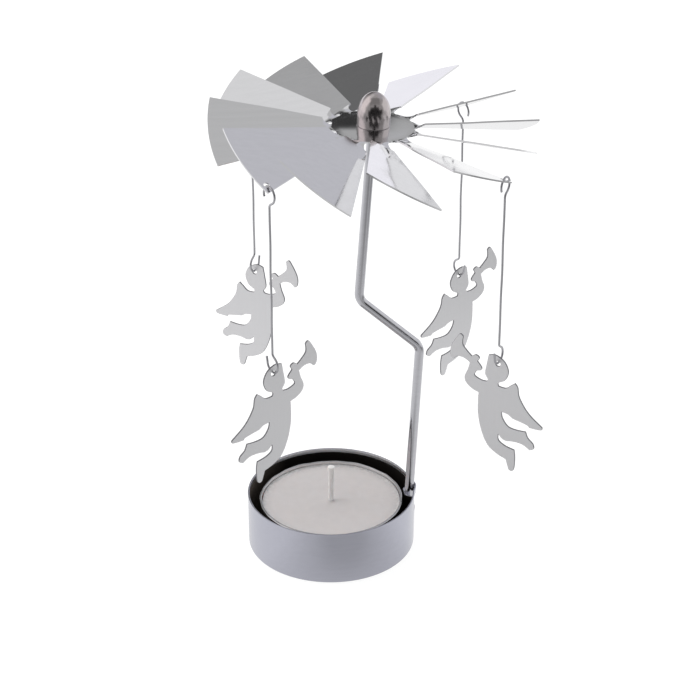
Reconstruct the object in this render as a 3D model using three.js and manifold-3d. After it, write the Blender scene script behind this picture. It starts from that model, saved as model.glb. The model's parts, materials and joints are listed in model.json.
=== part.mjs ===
// Rotating candle holder: a tealight in a steel cup, a bent rod, and a bladed rotor that balances
// on the rod's point and carries four hanging angels round in the warm air.
// Millimetres, +Z up. The origin is the centre of the cup's underside and the rod lies in the XZ plane.
import * as THREE from 'three';
import Module from 'manifold-3d';
import { mergeVertices } from 'three/addons/utils/BufferGeometryUtils.js';

const wasm = await Module();
wasm.setup();

// Clearances between pieces
const FIT_GAP = 0.15;
const REST_GAP = 0.2;

// Tealight
const TEALIGHT_DIAMETER = 38;
const TEALIGHT_HEIGHT = 12;
const TEALIGHT_WALL = 0.3;
const TEALIGHT_RIM_ROLL = 0.4;
const WAX_BELOW_RIM = 0.9;
const WICK_DIAMETER = 1.5;
const WICK_ABOVE_WAX = 10.5;
const SUSTAINER_DIAMETER = 12;
const SUSTAINER_SHEET = 0.25;
const SUSTAINER_NECK_HEIGHT = 3;
const SUSTAINER_NECK_WALL = 0.4;

// Candle cup with the strap that holds the rod
const CUP_HEIGHT = 14.7;
const CUP_WALL = 0.4;
const CUP_CORNER_RADIUS = 0.6;
const CUP_CLEARANCE = 2.6;
const RIM_BULGE = 0.75;
const RIM_BULGE_HALF_WIDTH = 4.2;
const TEALIGHT_GAP = 0.4;
const STRAP_THICKNESS = 0.3;
const STRAP_HEIGHT = 4;
const STRAP_BELOW_RIM = 2.1;
const STRAP_HALF_SPAN = 3.6;
const STRAP_SLIT = 0.2;

// Support rod
const ROD_DIAMETER = 2.4;
const ROD_FOOT_DEPTH = 9.7;
const ROD_LOWER_LEAN = 2.9;
const ROD_LOWER_BEND_HEIGHT = 55.9;
const ROD_UPPER_BEND_HEIGHT = 70.3;
const ROD_STEP = 15.8;
const ROD_UPPER_LEAN = 4;
const ROD_BEND_RADIUS = 4;
const ROD_TIP_HEIGHT = 124.4;
const ROD_POINT_LENGTH = 3.5;
const ROD_POINT_RADIUS = 0.15;

// Rotor
const SHEET = 0.4;
const ROTOR_RADIUS = 40;
const HUB_RADIUS = 10;
const BLADE_COUNT = 12;
const BLADE_ROOT_RADIUS = 12.5;
const BLADE_SLIT_ANGLE = 0.6;
const BLADE_PHASE = 31.8;
const NECK_HALF_WIDTH = 1.7;
const HOOK_HOLE_DIAMETER = 1.5;
const HOOK_HOLE_TIP_INSET = 1.4;
const HOOK_HOLE_EDGE_INSET = 1.9;
const ROTOR_LEAN = 2.8;
const ROTOR_LEAN_TOWARD = -33.6;

// The blades are bent by hand: each one's twist about its own radius, and its bend down from the hub's plane
const BLADE_TWISTS = [29.2, 23.4, 22, 21.5, 27.7, 30.6, 29, 30.9, 28.6, 21.3, 23.2, 28.7];
const BLADE_DROOPS = [2, -0.6, -1.2, -0.5, -0.4, 0.4, -0.7, 1.6, -0.2, -1.7, -1.5, 1];

// Pivot cap
const CAP_DIAMETER = 8.2;
const CAP_WALL = 0.4;
const CAP_STRAIGHT = 3;
const CAP_HEIGHT = 8.9;
const CAP_NECK_DIAMETER = 7;
const CAP_LIP_OVERHANG = 0.8;

// Hanger wires, with each one's length from ring to ring
const BACK_RIGHT_LENGTH = 44.4;
const BACK_LEFT_LENGTH = 44.4;
const FRONT_LEFT_LENGTH = 43.8;
const FRONT_RIGHT_LENGTH = 44.4;
const WIRE_DIAMETER = 0.56;
const RING_RADIUS = 2.1;
const RING_START_ANGLE = 62;
const RING_TAIL_ANGLE = 205;
const HANG_GAP = 0.42;
const TAIL_LENGTH = 1.3;
const TAIL_FLARE = 12;

// Angels
const ANGEL_HEIGHT = 34.3;
const ANGEL_THICKNESS = 0.4;
const ANGEL_HOLE_DIAMETER = 1.4;

// Values that follow from the sizes above
const TEALIGHT_RADIUS = TEALIGHT_DIAMETER / 2;
const ROD_RADIUS = ROD_DIAMETER / 2;
const WIRE_RADIUS = WIRE_DIAMETER / 2;
const STRAP_INNER_X = TEALIGHT_RADIUS + TEALIGHT_GAP;
const ROD_FLAT_X = STRAP_INNER_X + STRAP_THICKNESS + FIT_GAP;
const CUP_INNER_RADIUS = TEALIGHT_RADIUS + CUP_CLEARANCE;
const CUP_RADIUS = CUP_INNER_RADIUS + CUP_WALL;
const STRAP_TOP = CUP_HEIGHT - STRAP_BELOW_RIM;
const BLADE_HALF_ANGLE = 180 / BLADE_COUNT - BLADE_SLIT_ANGLE / 2;
const CAP_INNER_TOP = CAP_HEIGHT - 1.5 * CAP_WALL;

const rad = THREE.MathUtils.degToRad;
const tanDeg = (angle) => Math.tan(rad(angle));
const v2 = (x, y) => new THREE.Vector2(x, y);
const v3 = (x, y, z) => new THREE.Vector3(x, y, z);

const group = new THREE.Group();

function material(color, metalness, roughness) {
  return new THREE.MeshStandardMaterial({ color, metalness, roughness });
}

const polishedSteel = () => material(0xd4d5d8, 1, 0.12);
const satinSteel = () => material(0xb9babd, 1, 0.35);

function addPiece(name, geometry, finish) {
  geometry.computeVertexNormals();
  const mesh = new THREE.Mesh(geometry, finish);
  mesh.name = name;
  group.add(mesh);
}

// Welds a geometry and hands it over as a solid for joining and cutting.
function toSolid(geometry) {
  const bare = geometry.clone();
  bare.deleteAttribute('normal');
  bare.deleteAttribute('uv');
  const welded = mergeVertices(bare, 1e-4);
  const index = Array.from(welded.index.array);
  const kept = [];
  for (let i = 0; i < index.length; i += 3) {
    const [a, b, c] = index.slice(i, i + 3);
    if (a !== b && b !== c && c !== a) {
      kept.push(a, b, c);
    }
  }
  const mesh = new wasm.Mesh({
    numProp: 3,
    vertProperties: new Float32Array(welded.attributes.position.array),
    triVerts: new Uint32Array(kept),
  });
  return new wasm.Manifold(mesh);
}

function fromSolid(solid) {
  const mesh = solid.getMesh();
  const geometry = new THREE.BufferGeometry();
  geometry.setAttribute('position', new THREE.BufferAttribute(new Float32Array(mesh.vertProperties), 3));
  geometry.setIndex(new THREE.BufferAttribute(new Uint32Array(mesh.triVerts), 1));
  return geometry;
}

// Turns a profile of [radius, height] points about the Z axis.
function turned(profile, sides) {
  const points = profile.map(([radius, height]) => v2(radius, height));
  return new THREE.LatheGeometry(points, sides).rotateX(Math.PI / 2);
}

// Points of an arc in [radius, height] form, from one angle to another in degrees.
function arc(centreX, centreY, radiusX, radiusY, from, to, steps) {
  return Array.from({ length: steps + 1 }, (_, i) => {
    const angle = rad(from + ((to - from) * i) / steps);
    return [centreX + radiusX * Math.cos(angle), centreY + radiusY * Math.sin(angle)];
  });
}

function roundPath(x, y, radius, sides) {
  const points = arc(x, y, radius, radius, 0, 360 * (1 - 1 / sides), sides - 1);
  return points.map(([px, py]) => v2(px, py));
}

function box(minX, maxX, minY, maxY, minZ, maxZ) {
  const block = new THREE.BoxGeometry(maxX - minX, maxY - minY, maxZ - minZ);
  return block.translate((minX + maxX) / 2, (minY + maxY) / 2, (minZ + maxZ) / 2);
}

// A bent wire: runs through its points one by one, so bends get as many steps as they need.
class BentWire extends THREE.Curve {
  constructor(points) {
    super();
    this.points = points;
  }

  getPoint(t) {
    const place = t * (this.points.length - 1);
    const i = Math.min(Math.floor(place), this.points.length - 2);
    return this.points[i].clone().lerp(this.points[i + 1], place - i);
  }

  getPointAt(u) {
    return this.getPoint(u);
  }

  getTangentAt(u) {
    const i = Math.round(u * (this.points.length - 1));
    const before = this.points[Math.max(i - 1, 0)];
    const after = this.points[Math.min(i + 1, this.points.length - 1)];
    const here = this.points[i];
    const into = here.clone().sub(before).normalize();
    const out = after.clone().sub(here).normalize();
    return into.add(out).normalize();
  }
}

function wireAlong(points, radius, sides) {
  const section = new THREE.Shape(roundPath(0, 0, radius, sides));
  const path = new BentWire(points);
  return new THREE.ExtrudeGeometry(section, { steps: points.length - 1, extrudePath: path });
}

// A corner of a bent wire in the XZ plane, rounded to a radius.
function roundedCorner(before, corner, after, radius, steps) {
  const into = corner.clone().sub(before).normalize();
  const out = after.clone().sub(corner).normalize();
  const turn = into.angleTo(out);
  const setback = radius * Math.tan(turn / 2);
  const start = corner.clone().addScaledVector(into, -setback);
  const side = out.clone().addScaledVector(into, -out.dot(into)).normalize();
  const centre = start.clone().addScaledVector(side, radius);
  return Array.from({ length: steps + 1 }, (_, i) => {
    const angle = (turn * i) / steps;
    const point = centre.clone().addScaledVector(side, -radius * Math.cos(angle));
    return point.addScaledVector(into, radius * Math.sin(angle));
  });
}

// Tealight: aluminium shell, wax, sustainer and wick, all turned about the cup's axis
const shellBase = CUP_WALL + REST_GAP;
const shellTop = shellBase + TEALIGHT_HEIGHT;
const shellOuter = TEALIGHT_RADIUS - TEALIGHT_RIM_ROLL;
const shellInner = shellOuter - TEALIGHT_WALL;
const shellFloor = shellBase + TEALIGHT_WALL;
const rollCentre = shellTop - TEALIGHT_RIM_ROLL;
const shellProfile = [
  [0, shellBase],
  ...arc(shellOuter - 0.8, shellBase + 0.8, 0.8, 0.8, -90, 0, 3),
  [shellOuter, rollCentre - TEALIGHT_RIM_ROLL],
  ...arc(shellOuter, rollCentre, TEALIGHT_RIM_ROLL, TEALIGHT_RIM_ROLL, -30, 90, 4),
  [shellInner, shellTop],
  ...arc(shellInner - 0.5, shellFloor + 0.5, 0.5, 0.5, 0, -90, 3),
  [0, shellFloor],
];
addPiece('tealight_cup', turned(shellProfile, 40), material(0xc9cacb, 1, 0.3));

const sustainerBase = shellFloor + REST_GAP;
const sustainerTop = sustainerBase + SUSTAINER_SHEET;
const neckTop = sustainerTop + SUSTAINER_NECK_HEIGHT;
const wickBore = WICK_DIAMETER / 2 + FIT_GAP;
const neckOuter = wickBore + SUSTAINER_NECK_WALL;
const sustainerProfile = [
  [wickBore, sustainerBase],
  [SUSTAINER_DIAMETER / 2, sustainerBase],
  [SUSTAINER_DIAMETER / 2, sustainerTop],
  [neckOuter, sustainerTop],
  [neckOuter, neckTop],
  [wickBore, neckTop],
  [wickBore, sustainerBase],
];
addPiece('wick_sustainer', turned(sustainerProfile, 32), material(0xb4b5b7, 1, 0.35));

// The wax is hollowed underneath to the sustainer's shape and bored through for the wick.
const waxOuter = shellInner - FIT_GAP;
const waxBase = shellFloor + REST_GAP;
const waxTop = shellTop - WAX_BELOW_RIM;
const waxProfile = [
  [SUSTAINER_DIAMETER / 2 + FIT_GAP, waxBase],
  [waxOuter - 0.6, waxBase],
  [waxOuter, waxBase + 0.6],
  [waxOuter, waxTop + 0.3],
  [waxOuter - 0.5, waxTop],
  [wickBore, waxTop],
  [wickBore, neckTop + FIT_GAP],
  [neckOuter + FIT_GAP, neckTop + FIT_GAP],
  [neckOuter + FIT_GAP, sustainerTop + FIT_GAP],
  [SUSTAINER_DIAMETER / 2 + FIT_GAP, sustainerTop + FIT_GAP],
  [SUSTAINER_DIAMETER / 2 + FIT_GAP, waxBase],
];
addPiece('tealight_wax', turned(waxProfile, 40), material(0xe8e4e1, 0, 0.55));

const wickRadius = WICK_DIAMETER / 2;
const wickTop = waxTop + WICK_ABOVE_WAX;
const wickProfile = [
  [0, sustainerBase],
  [wickRadius, sustainerBase],
  [wickRadius, wickTop - 0.4],
  [wickRadius - 0.3, wickTop],
  [0, wickTop],
];
addPiece('tealight_wick', turned(wickProfile, 16), material(0xefece8, 0, 0.9));

// Candle cup: a drawn pan whose wall is lanced and pushed inward into a strap for the rod's foot
const floorCorner = CUP_CORNER_RADIUS - CUP_WALL;
const cornerX = CUP_RADIUS - CUP_CORNER_RADIUS;
const cupProfile = [
  [0, 0],
  ...arc(cornerX, CUP_CORNER_RADIUS, CUP_CORNER_RADIUS, CUP_CORNER_RADIUS, -90, 0, 4),
  [CUP_RADIUS, CUP_HEIGHT],
  [CUP_INNER_RADIUS, CUP_HEIGHT],
  ...arc(cornerX, CUP_CORNER_RADIUS, floorCorner, floorCorner, 0, -90, 3),
  [0, CUP_WALL],
];

// Beside the rod the wall swells outward, more and more towards the rim.
function swell(geometry) {
  const place = geometry.attributes.position;
  for (let i = 0; i < place.count; i += 1) {
    const [x, y, z] = [place.getX(i), place.getY(i), place.getZ(i)];
    const nearness = Math.min(Math.abs(y) / RIM_BULGE_HALF_WIDTH, 1);
    const rise = Math.max(z - CUP_CORNER_RADIUS, 0) / (CUP_HEIGHT - CUP_CORNER_RADIUS);
    if (x > 0) {
      place.setX(i, x + RIM_BULGE * rise * Math.cos((Math.PI / 2) * nearness) ** 2);
    }
  }
  return geometry;
}

// Plan line of the strap: straight across the rod's flat, then curving out into the wall on both sides.
function strapLine(steps) {
  const wallX = (y) => Math.sqrt((CUP_RADIUS - CUP_WALL / 2) ** 2 - y * y);
  const flatX = STRAP_INNER_X + STRAP_THICKNESS / 2;
  const flatHalf = ROD_RADIUS + FIT_GAP;
  const tuck = 0.4;
  const side = Array.from({ length: steps + 1 }, (_, i) => {
    const y = flatHalf + ((STRAP_HALF_SPAN + tuck - flatHalf) * i) / steps;
    const rise = THREE.MathUtils.smoothstep(y, flatHalf, STRAP_HALF_SPAN);
    return v2(flatX + (wallX(y) - flatX) * rise, y);
  });
  const mirrored = side.map((point) => v2(point.x, -point.y)).reverse();
  return [...mirrored, ...side];
}

// A ribbon of even thickness along a plan line.
function ribbon(line, thickness) {
  const sideways = line.map((point, i) => {
    const ahead = line[Math.min(i + 1, line.length - 1)];
    const behind = line[Math.max(i - 1, 0)];
    const along = ahead.clone().sub(behind).normalize();
    return v2(along.y, -along.x).multiplyScalar(thickness / 2);
  });
  const right = line.map((point, i) => point.clone().add(sideways[i]));
  const left = line.map((point, i) => point.clone().sub(sideways[i]));
  return new THREE.Shape([...right, ...left.reverse()]);
}

const strapBottom = STRAP_TOP - STRAP_HEIGHT;
const strapShape = ribbon(strapLine(8), STRAP_THICKNESS);
const strap = new THREE.ExtrudeGeometry(strapShape, { depth: STRAP_HEIGHT, bevelEnabled: false });
strap.translate(0, 0, strapBottom);
const lanceX = CUP_INNER_RADIUS - 1;
const lanceTop = STRAP_TOP + STRAP_SLIT;
const lanceFar = CUP_RADIUS + RIM_BULGE + 1;
const lance = box(lanceX, lanceFar, -STRAP_HALF_SPAN, STRAP_HALF_SPAN, strapBottom - STRAP_SLIT, lanceTop);
const cupShell = toSolid(swell(turned(cupProfile, 96)));
const cupSolid = cupShell.subtract(toSolid(lance)).add(toSolid(strap));
addPiece('candle_cup', fromSolid(cupSolid), polishedSteel());

// Support rod: leans out of the cup, steps in over the candle and ends in a point
const rimX = CUP_INNER_RADIUS + RIM_BULGE - FIT_GAP - ROD_RADIUS;
const footHeight = CUP_HEIGHT - ROD_FOOT_DEPTH;
const rodFoot = v3(rimX - ROD_FOOT_DEPTH * tanDeg(ROD_LOWER_LEAN), 0, footHeight);
const lowerBendX = rimX + (ROD_LOWER_BEND_HEIGHT - CUP_HEIGHT) * tanDeg(ROD_LOWER_LEAN);
const lowerBend = v3(lowerBendX, 0, ROD_LOWER_BEND_HEIGHT);
const upperBend = v3(lowerBendX - ROD_STEP, 0, ROD_UPPER_BEND_HEIGHT);
const mastRise = ROD_TIP_HEIGHT - ROD_UPPER_BEND_HEIGHT;
const rodTip = v3(upperBend.x + mastRise * tanDeg(ROD_UPPER_LEAN), 0, ROD_TIP_HEIGHT);
const mast = rodTip.clone().sub(upperBend).normalize();
const rodNeck = rodTip.clone().addScaledVector(mast, -ROD_POINT_LENGTH);
const rodPoints = [
  rodFoot,
  ...roundedCorner(rodFoot, lowerBend, upperBend, ROD_BEND_RADIUS, 8),
  ...roundedCorner(lowerBend, upperBend, rodTip, ROD_BEND_RADIUS, 8),
  rodNeck,
];
const pointOverlap = 0.5;
const pointProfile = [
  [0, -ROD_POINT_LENGTH - pointOverlap],
  [ROD_RADIUS * 0.96, -ROD_POINT_LENGTH - pointOverlap],
  [ROD_RADIUS * 0.96, -ROD_POINT_LENGTH],
  [ROD_POINT_RADIUS, -ROD_POINT_RADIUS],
  [0, 0],
];
const rodPoint = turned(pointProfile, 16).rotateY(rad(ROD_UPPER_LEAN)).translate(rodTip.x, 0, rodTip.z);
const flatTop = STRAP_TOP + REST_GAP;
const footFlat = box(ROD_FLAT_X - ROD_DIAMETER, ROD_FLAT_X, -ROD_DIAMETER, ROD_DIAMETER, 0, flatTop);
const rodBody = toSolid(wireAlong(rodPoints, ROD_RADIUS, 16));
const rodSolid = rodBody.add(toSolid(rodPoint)).subtract(toSolid(footFlat));
addPiece('support_rod', fromSolid(rodSolid), material(0xa9aaad, 1, 0.16));

// The rotor's own frame has its sheet at z = 0; it hangs from the cap's inside top on the rod's point.
const pivot = rodTip.clone().add(v3(0, 0, REST_GAP));
const leanAxis = v3(-Math.sin(rad(ROTOR_LEAN_TOWARD)), Math.cos(rad(ROTOR_LEAN_TOWARD)), 0);
const lean = new THREE.Matrix4().makeRotationAxis(leanAxis, rad(ROTOR_LEAN));
const rotorFrame = new THREE.Matrix4().setPosition(pivot).multiply(lean);
rotorFrame.multiply(new THREE.Matrix4().makeTranslation(0, 0, -CAP_INNER_TOP));

// Each blade is flat and turned about its own radius, its counterclockwise edge the lower one, and then bent
// down a little about the hub's edge.
const bladeTwist = (blade) => rad(BLADE_TWISTS[blade % BLADE_TWISTS.length]);
const bladeDroop = (blade) => rad(BLADE_DROOPS[blade % BLADE_DROOPS.length]);

function bladeFrame(blade) {
  const frame = new THREE.Matrix4().makeRotationZ(rad(BLADE_PHASE + (360 / BLADE_COUNT) * blade));
  frame.multiply(new THREE.Matrix4().makeTranslation(HUB_RADIUS, 0, 0));
  frame.multiply(new THREE.Matrix4().makeRotationY(bladeDroop(blade)));
  frame.multiply(new THREE.Matrix4().makeTranslation(-HUB_RADIUS, 0, 0));
  return frame.multiply(new THREE.Matrix4().makeRotationX(-bladeTwist(blade)));
}

const hookHoleRadius = ROTOR_RADIUS - HOOK_HOLE_TIP_INSET;
const hookHoleAngle = rad(BLADE_HALF_ANGLE) - Math.asin(HOOK_HOLE_EDGE_INSET / hookHoleRadius);
const hookHole = v3(hookHoleRadius * Math.cos(hookHoleAngle), hookHoleRadius * Math.sin(hookHoleAngle), 0);
const isHookBlade = (blade) => blade % 3 === 0;

function bladeGeometry(blade) {
  const half = BLADE_HALF_ANGLE;
  const tip = arc(0, 0, ROTOR_RADIUS, ROTOR_RADIUS, -half, half, 8);
  const rootHalf = BLADE_ROOT_RADIUS * tanDeg(half);
  const outline = [[BLADE_ROOT_RADIUS, -rootHalf], ...tip, [BLADE_ROOT_RADIUS, rootHalf]];
  const shape = new THREE.Shape(outline.map(([x, y]) => v2(x, y)));
  if (isHookBlade(blade)) {
    shape.holes.push(new THREE.Path(roundPath(hookHole.x, hookHole.y, HOOK_HOLE_DIAMETER / 2, 16)));
  }
  const plate = new THREE.ExtrudeGeometry(shape, { depth: SHEET, bevelEnabled: false });
  return plate.translate(0, 0, -SHEET / 2).applyMatrix4(bladeFrame(blade));
}

// The neck is a short strip from the hub into the blade that takes up the twist and the bend. It is a shade
// thinner than the sheet, as a twisted strip is drawn.
function neckGeometry(blade) {
  const start = HUB_RADIUS - 1.5;
  const end = BLADE_ROOT_RADIUS + 1;
  const strip = new THREE.BoxGeometry(end - start, 2 * NECK_HALF_WIDTH, SHEET - 0.04, 6, 2, 1);
  strip.translate((start + end) / 2, 0, 0);
  const place = strip.attributes.position;
  for (let i = 0; i < place.count; i += 1) {
    const x = place.getX(i);
    const y = place.getY(i);
    const z = place.getZ(i);
    const share = THREE.MathUtils.smoothstep(x, HUB_RADIUS, BLADE_ROOT_RADIUS);
    const angle = -bladeTwist(blade) * share;
    const bend = bladeDroop(blade) * share;
    const out = x - HUB_RADIUS;
    const across = y * Math.cos(angle) - z * Math.sin(angle);
    const up = y * Math.sin(angle) + z * Math.cos(angle);
    place.setX(i, HUB_RADIUS + out * Math.cos(bend) + up * Math.sin(bend));
    place.setY(i, across);
    place.setZ(i, up * Math.cos(bend) - out * Math.sin(bend));
  }
  return strip.rotateZ(rad(BLADE_PHASE + (360 / BLADE_COUNT) * blade));
}

const hubShape = new THREE.Shape(roundPath(0, 0, HUB_RADIUS, 48));
hubShape.holes.push(new THREE.Path(roundPath(0, 0, CAP_NECK_DIAMETER / 2 + FIT_GAP, 32)));
const hub = new THREE.ExtrudeGeometry(hubShape, { depth: SHEET, bevelEnabled: false });
let rotorSolid = toSolid(hub.translate(0, 0, -SHEET / 2));
for (let blade = 0; blade < BLADE_COUNT; blade += 1) {
  rotorSolid = rotorSolid.add(toSolid(neckGeometry(blade))).add(toSolid(bladeGeometry(blade)));
}
addPiece('rotor_sheet', fromSolid(rotorSolid).applyMatrix4(rotorFrame), polishedSteel());

// Pivot cap: a domed thimble whose neck goes through the hub and is rolled over underneath
const capOuter = CAP_DIAMETER / 2;
const capInner = capOuter - CAP_WALL;
const neckRadius = CAP_NECK_DIAMETER / 2;
const neckInner = neckRadius - CAP_WALL;
const seat = SHEET / 2 + FIT_GAP;
const capProfile = [
  [neckInner, -seat - CAP_WALL],
  [neckRadius + CAP_LIP_OVERHANG, -seat - CAP_WALL],
  [neckRadius + CAP_LIP_OVERHANG, -seat],
  [neckRadius, -seat],
  [neckRadius, seat],
  [capOuter, seat],
  ...arc(0, CAP_STRAIGHT, capOuter, CAP_HEIGHT - CAP_STRAIGHT, 0, 90, 10),
  ...arc(0, CAP_STRAIGHT, capInner, CAP_INNER_TOP - CAP_STRAIGHT, 90, 0, 6),
  [capInner, seat + CAP_WALL],
  [neckInner, seat + CAP_WALL],
  [neckInner, -seat - CAP_WALL],
];
addPiece('pivot_cap', turned(capProfile, 32).applyMatrix4(rotorFrame), polishedSteel());

// A hanger lies in one plane, drawn here as x across and z up from the centre of its upper ring.
function hangerPoints(length) {
  const ringArc = (from, to, steps) =>
    arc(0, 0, RING_RADIUS, RING_RADIUS, from, to, steps).map(([x, z]) => v3(x, 0, z));
  const ringPoint = (angle) => ringArc(angle, angle, 1)[0];
  const cornerDepth = RING_RADIUS / Math.sin(rad(RING_START_ANGLE));
  const stemTop = v3(0, 0, -cornerDepth - 0.6);
  const corner = v3(0, 0, -cornerDepth);
  const kink = new THREE.QuadraticBezierCurve3(ringPoint(-RING_START_ANGLE), corner, stemTop);
  const upper = [...ringArc(RING_TAIL_ANGLE, -RING_START_ANGLE, 16), ...kink.getPoints(4).slice(1)];
  const tailFoot = ringPoint(180);
  const tail = v3(-Math.sin(rad(TAIL_FLARE)), 0, Math.cos(rad(TAIL_FLARE))).multiplyScalar(TAIL_LENGTH);
  const lowerHook = [...ringArc(RING_START_ANGLE, -180, 14), tailFoot.add(tail)];
  const lowerKink = kink.getPoints(4).reverse().map((point) => v3(point.x, 0, -point.z));
  const lower = [...lowerKink.slice(0, -1), ...lowerHook];
  return [...upper, ...lower.map((point) => point.add(v3(0, 0, -length)))];
}

// Angel outline: stretches between corners, [forward, up] from the hole in the head
const ANGEL_OUTLINE = [
  // crown, back of the head and nape
  [[2.6, 1.8], [0.7, 2.2], [-1.7, 1], [-2.9, -1.5], [-2.1, -4], [-0.3, -5.2], [-0.4, -6.1]],
  // wing from shoulder to tip
  [[-0.4, -6.1], [-2.3, -6.1], [-3.7, -5], [-4.8, -4.1]],
  [[-4.8, -4.1], [-5.6, -5.2], [-6.2, -7.9], [-8.7, -11.4], [-12.6, -14.3]],
  // trailing edge of the wing with its two feathers
  [[-12.6, -14.3], [-12.2, -15.1], [-9.1, -15.3]],
  [[-9.1, -15.3], [-8.3, -14.7], [-4.5, -14]],
  [[-4.5, -14], [-3.1, -13.2], [-1.4, -13]],
  // raised leg: hip, knee, foot and calf
  [[-1.4, -13], [-1.8, -14.7], [-3.3, -16.5], [-5.5, -16.9], [-8.2, -16.7]],
  [[-8.2, -16.7], [-8.9, -18.3], [-10.3, -19.5], [-10.6, -20.8], [-9.5, -21.5]],
  [[-9.5, -21.5], [-7.5, -20.5], [-5.1, -20.4], [-3.1, -20.8]],
  [[-3.1, -20.8], [-1.9, -20.5], [-0.8, -19.4]],
  // trailing leg: thigh, knee, foot and shin
  [[-0.8, -19.4], [-0.9, -21.1], [-2.7, -22.2], [-5.3, -22.7]],
  [[-5.3, -22.7], [-5.6, -24.9], [-5.5, -27.8], [-5, -28.8], [-4.1, -28.7], [-3.6, -27.5], [-3.1, -26]],
  // belly from shin to armpit
  [[-3.1, -26], [-0.5, -25.1], [2.1, -23.3], [4, -19.5], [5, -15.1], [5.1, -11.1], [5, -9.3]],
  // raised arm: elbow and forearm
  [[5, -9.3], [6.9, -8.7], [8.6, -7.4], [9, -5.8], [8.2, -3.7], [7.7, -1.7]],
  // trumpet: underside, bell and upper side
  [[7.7, -1.7], [9.1, -0.9], [10.9, -0.8], [12.2, -1.8]],
  [[12.2, -1.8], [12.9, -1.3], [13.2, 0.3], [12.7, 2.3], [11.1, 5], [10.4, 5.5], [9.7, 5]],
  [[9.7, 5], [9.8, 2.8], [8.5, 1.3], [7.2, 0.2]],
  // hand and mouthpiece
  [[7.2, 0.2], [6.1, 0.9], [5.1, 0.3], [5.6, -0.8]],
  [[5.6, -0.8], [4.4, -2.2], [4.6, -3], [5.7, -3.4]],
  // inside of the arm, chin and face
  [[5.7, -3.4], [6.3, -4.8], [4.5, -5.6], [3, -5.6]],
  [[3, -5.6], [2.6, -5], [3.4, -3.5], [3, -0.5], [2.6, 1.8]],
];

const outlineHeights = ANGEL_OUTLINE.flat().map(([, z]) => z);
const outlineScale = ANGEL_HEIGHT / (Math.max(...outlineHeights) - Math.min(...outlineHeights));

function angelGeometry() {
  const shape = new THREE.Shape();
  const [startX, startZ] = ANGEL_OUTLINE[0][0];
  shape.moveTo(startX * outlineScale, startZ * outlineScale);
  for (const stretch of ANGEL_OUTLINE) {
    shape.splineThru(stretch.slice(1).map(([x, z]) => v2(x * outlineScale, z * outlineScale)));
  }
  shape.holes.push(new THREE.Path(roundPath(0, 0, ANGEL_HOLE_DIAMETER / 2, 16)));
  const settings = { depth: ANGEL_THICKNESS, bevelEnabled: false, curveSegments: 2 };
  const plate = new THREE.ExtrudeGeometry(shape, settings);
  return plate.translate(0, 0, -ANGEL_THICKNESS / 2).rotateX(Math.PI / 2);
}

// Where each hanger is hooked, its length from ring to ring, how far its plane is turned off the
// tangent, and which way its angel looks
const HANGERS = [
  { place: 'back_right', blade: 0, length: BACK_RIGHT_LENGTH, turn: -14.9, looksOut: true },
  { place: 'back_left', blade: 3, length: BACK_LEFT_LENGTH, turn: 9.8, looksOut: false },
  { place: 'front_left', blade: 6, length: FRONT_LEFT_LENGTH, turn: -11.4, looksOut: false },
  { place: 'front_right', blade: 9, length: FRONT_RIGHT_LENGTH, turn: 8.4, looksOut: false },
];

// The upper ring passes through the blade's hole and round the blade's lower edge; the sheet slopes across
// the ring a little below its top, so the ring's centre lies out and down from the hole.
function hangerFrame({ blade, turn }) {
  const frame = rotorFrame.clone().multiply(bladeFrame(blade));
  const hole = hookHole.clone().applyMatrix4(frame);
  const normal = v3(0, 0, 1).transformDirection(frame);
  const heading = Math.atan2(hole.y - pivot.y, hole.x - pivot.x) + rad(turn);
  const across = v3(-Math.sin(heading), Math.cos(heading), 0);
  const slope = Math.atan2(-normal.dot(across), normal.z);
  const drop = RING_RADIUS - WIRE_RADIUS - SHEET / 2 - HANG_GAP;
  const halfChord = Math.sqrt(RING_RADIUS ** 2 - drop ** 2);
  const along = halfChord + (HOOK_HOLE_DIAMETER - WIRE_DIAMETER) / 4;
  const out = along * Math.cos(slope) + drop * Math.sin(slope);
  const up = along * Math.sin(slope) - drop * Math.cos(slope);
  const centre = hole.addScaledVector(across, out).add(v3(0, 0, up));
  return { centre, heading };
}

for (const hanger of HANGERS) {
  const { centre, heading } = hangerFrame(hanger);
  const wire = wireAlong(hangerPoints(hanger.length), WIRE_RADIUS, 8);
  wire.rotateZ(heading + Math.PI / 2).translate(centre.x, centre.y, centre.z);
  addPiece(`hanger_${hanger.place}`, wire, satinSteel());
  const hookBottom = centre.z - hanger.length - RING_RADIUS;
  const holeHeight = hookBottom - (ANGEL_HOLE_DIAMETER / 2 - WIRE_RADIUS - FIT_GAP);
  const angel = angelGeometry().rotateZ(heading + (hanger.looksOut ? 0 : Math.PI));
  addPiece(`angel_${hanger.place}`, angel.translate(centre.x, centre.y, holeHeight), satinSteel());
}

export default group;
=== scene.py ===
# %% [markdown]
# # A rotating candle holder
# A tealight stands in a steel cup. A bent rod rises from the cup's rim and ends in a point, and a rotor
# of twelve twisted blades balances on it. Warm air turns the rotor, and four angels fly round with it.
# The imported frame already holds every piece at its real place, so the first step loads it and reads the
# places that the new surfaces are built on: the joints' points and axes, and the boxes of the pieces.

# %% Load the frame
import json
import math

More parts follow.
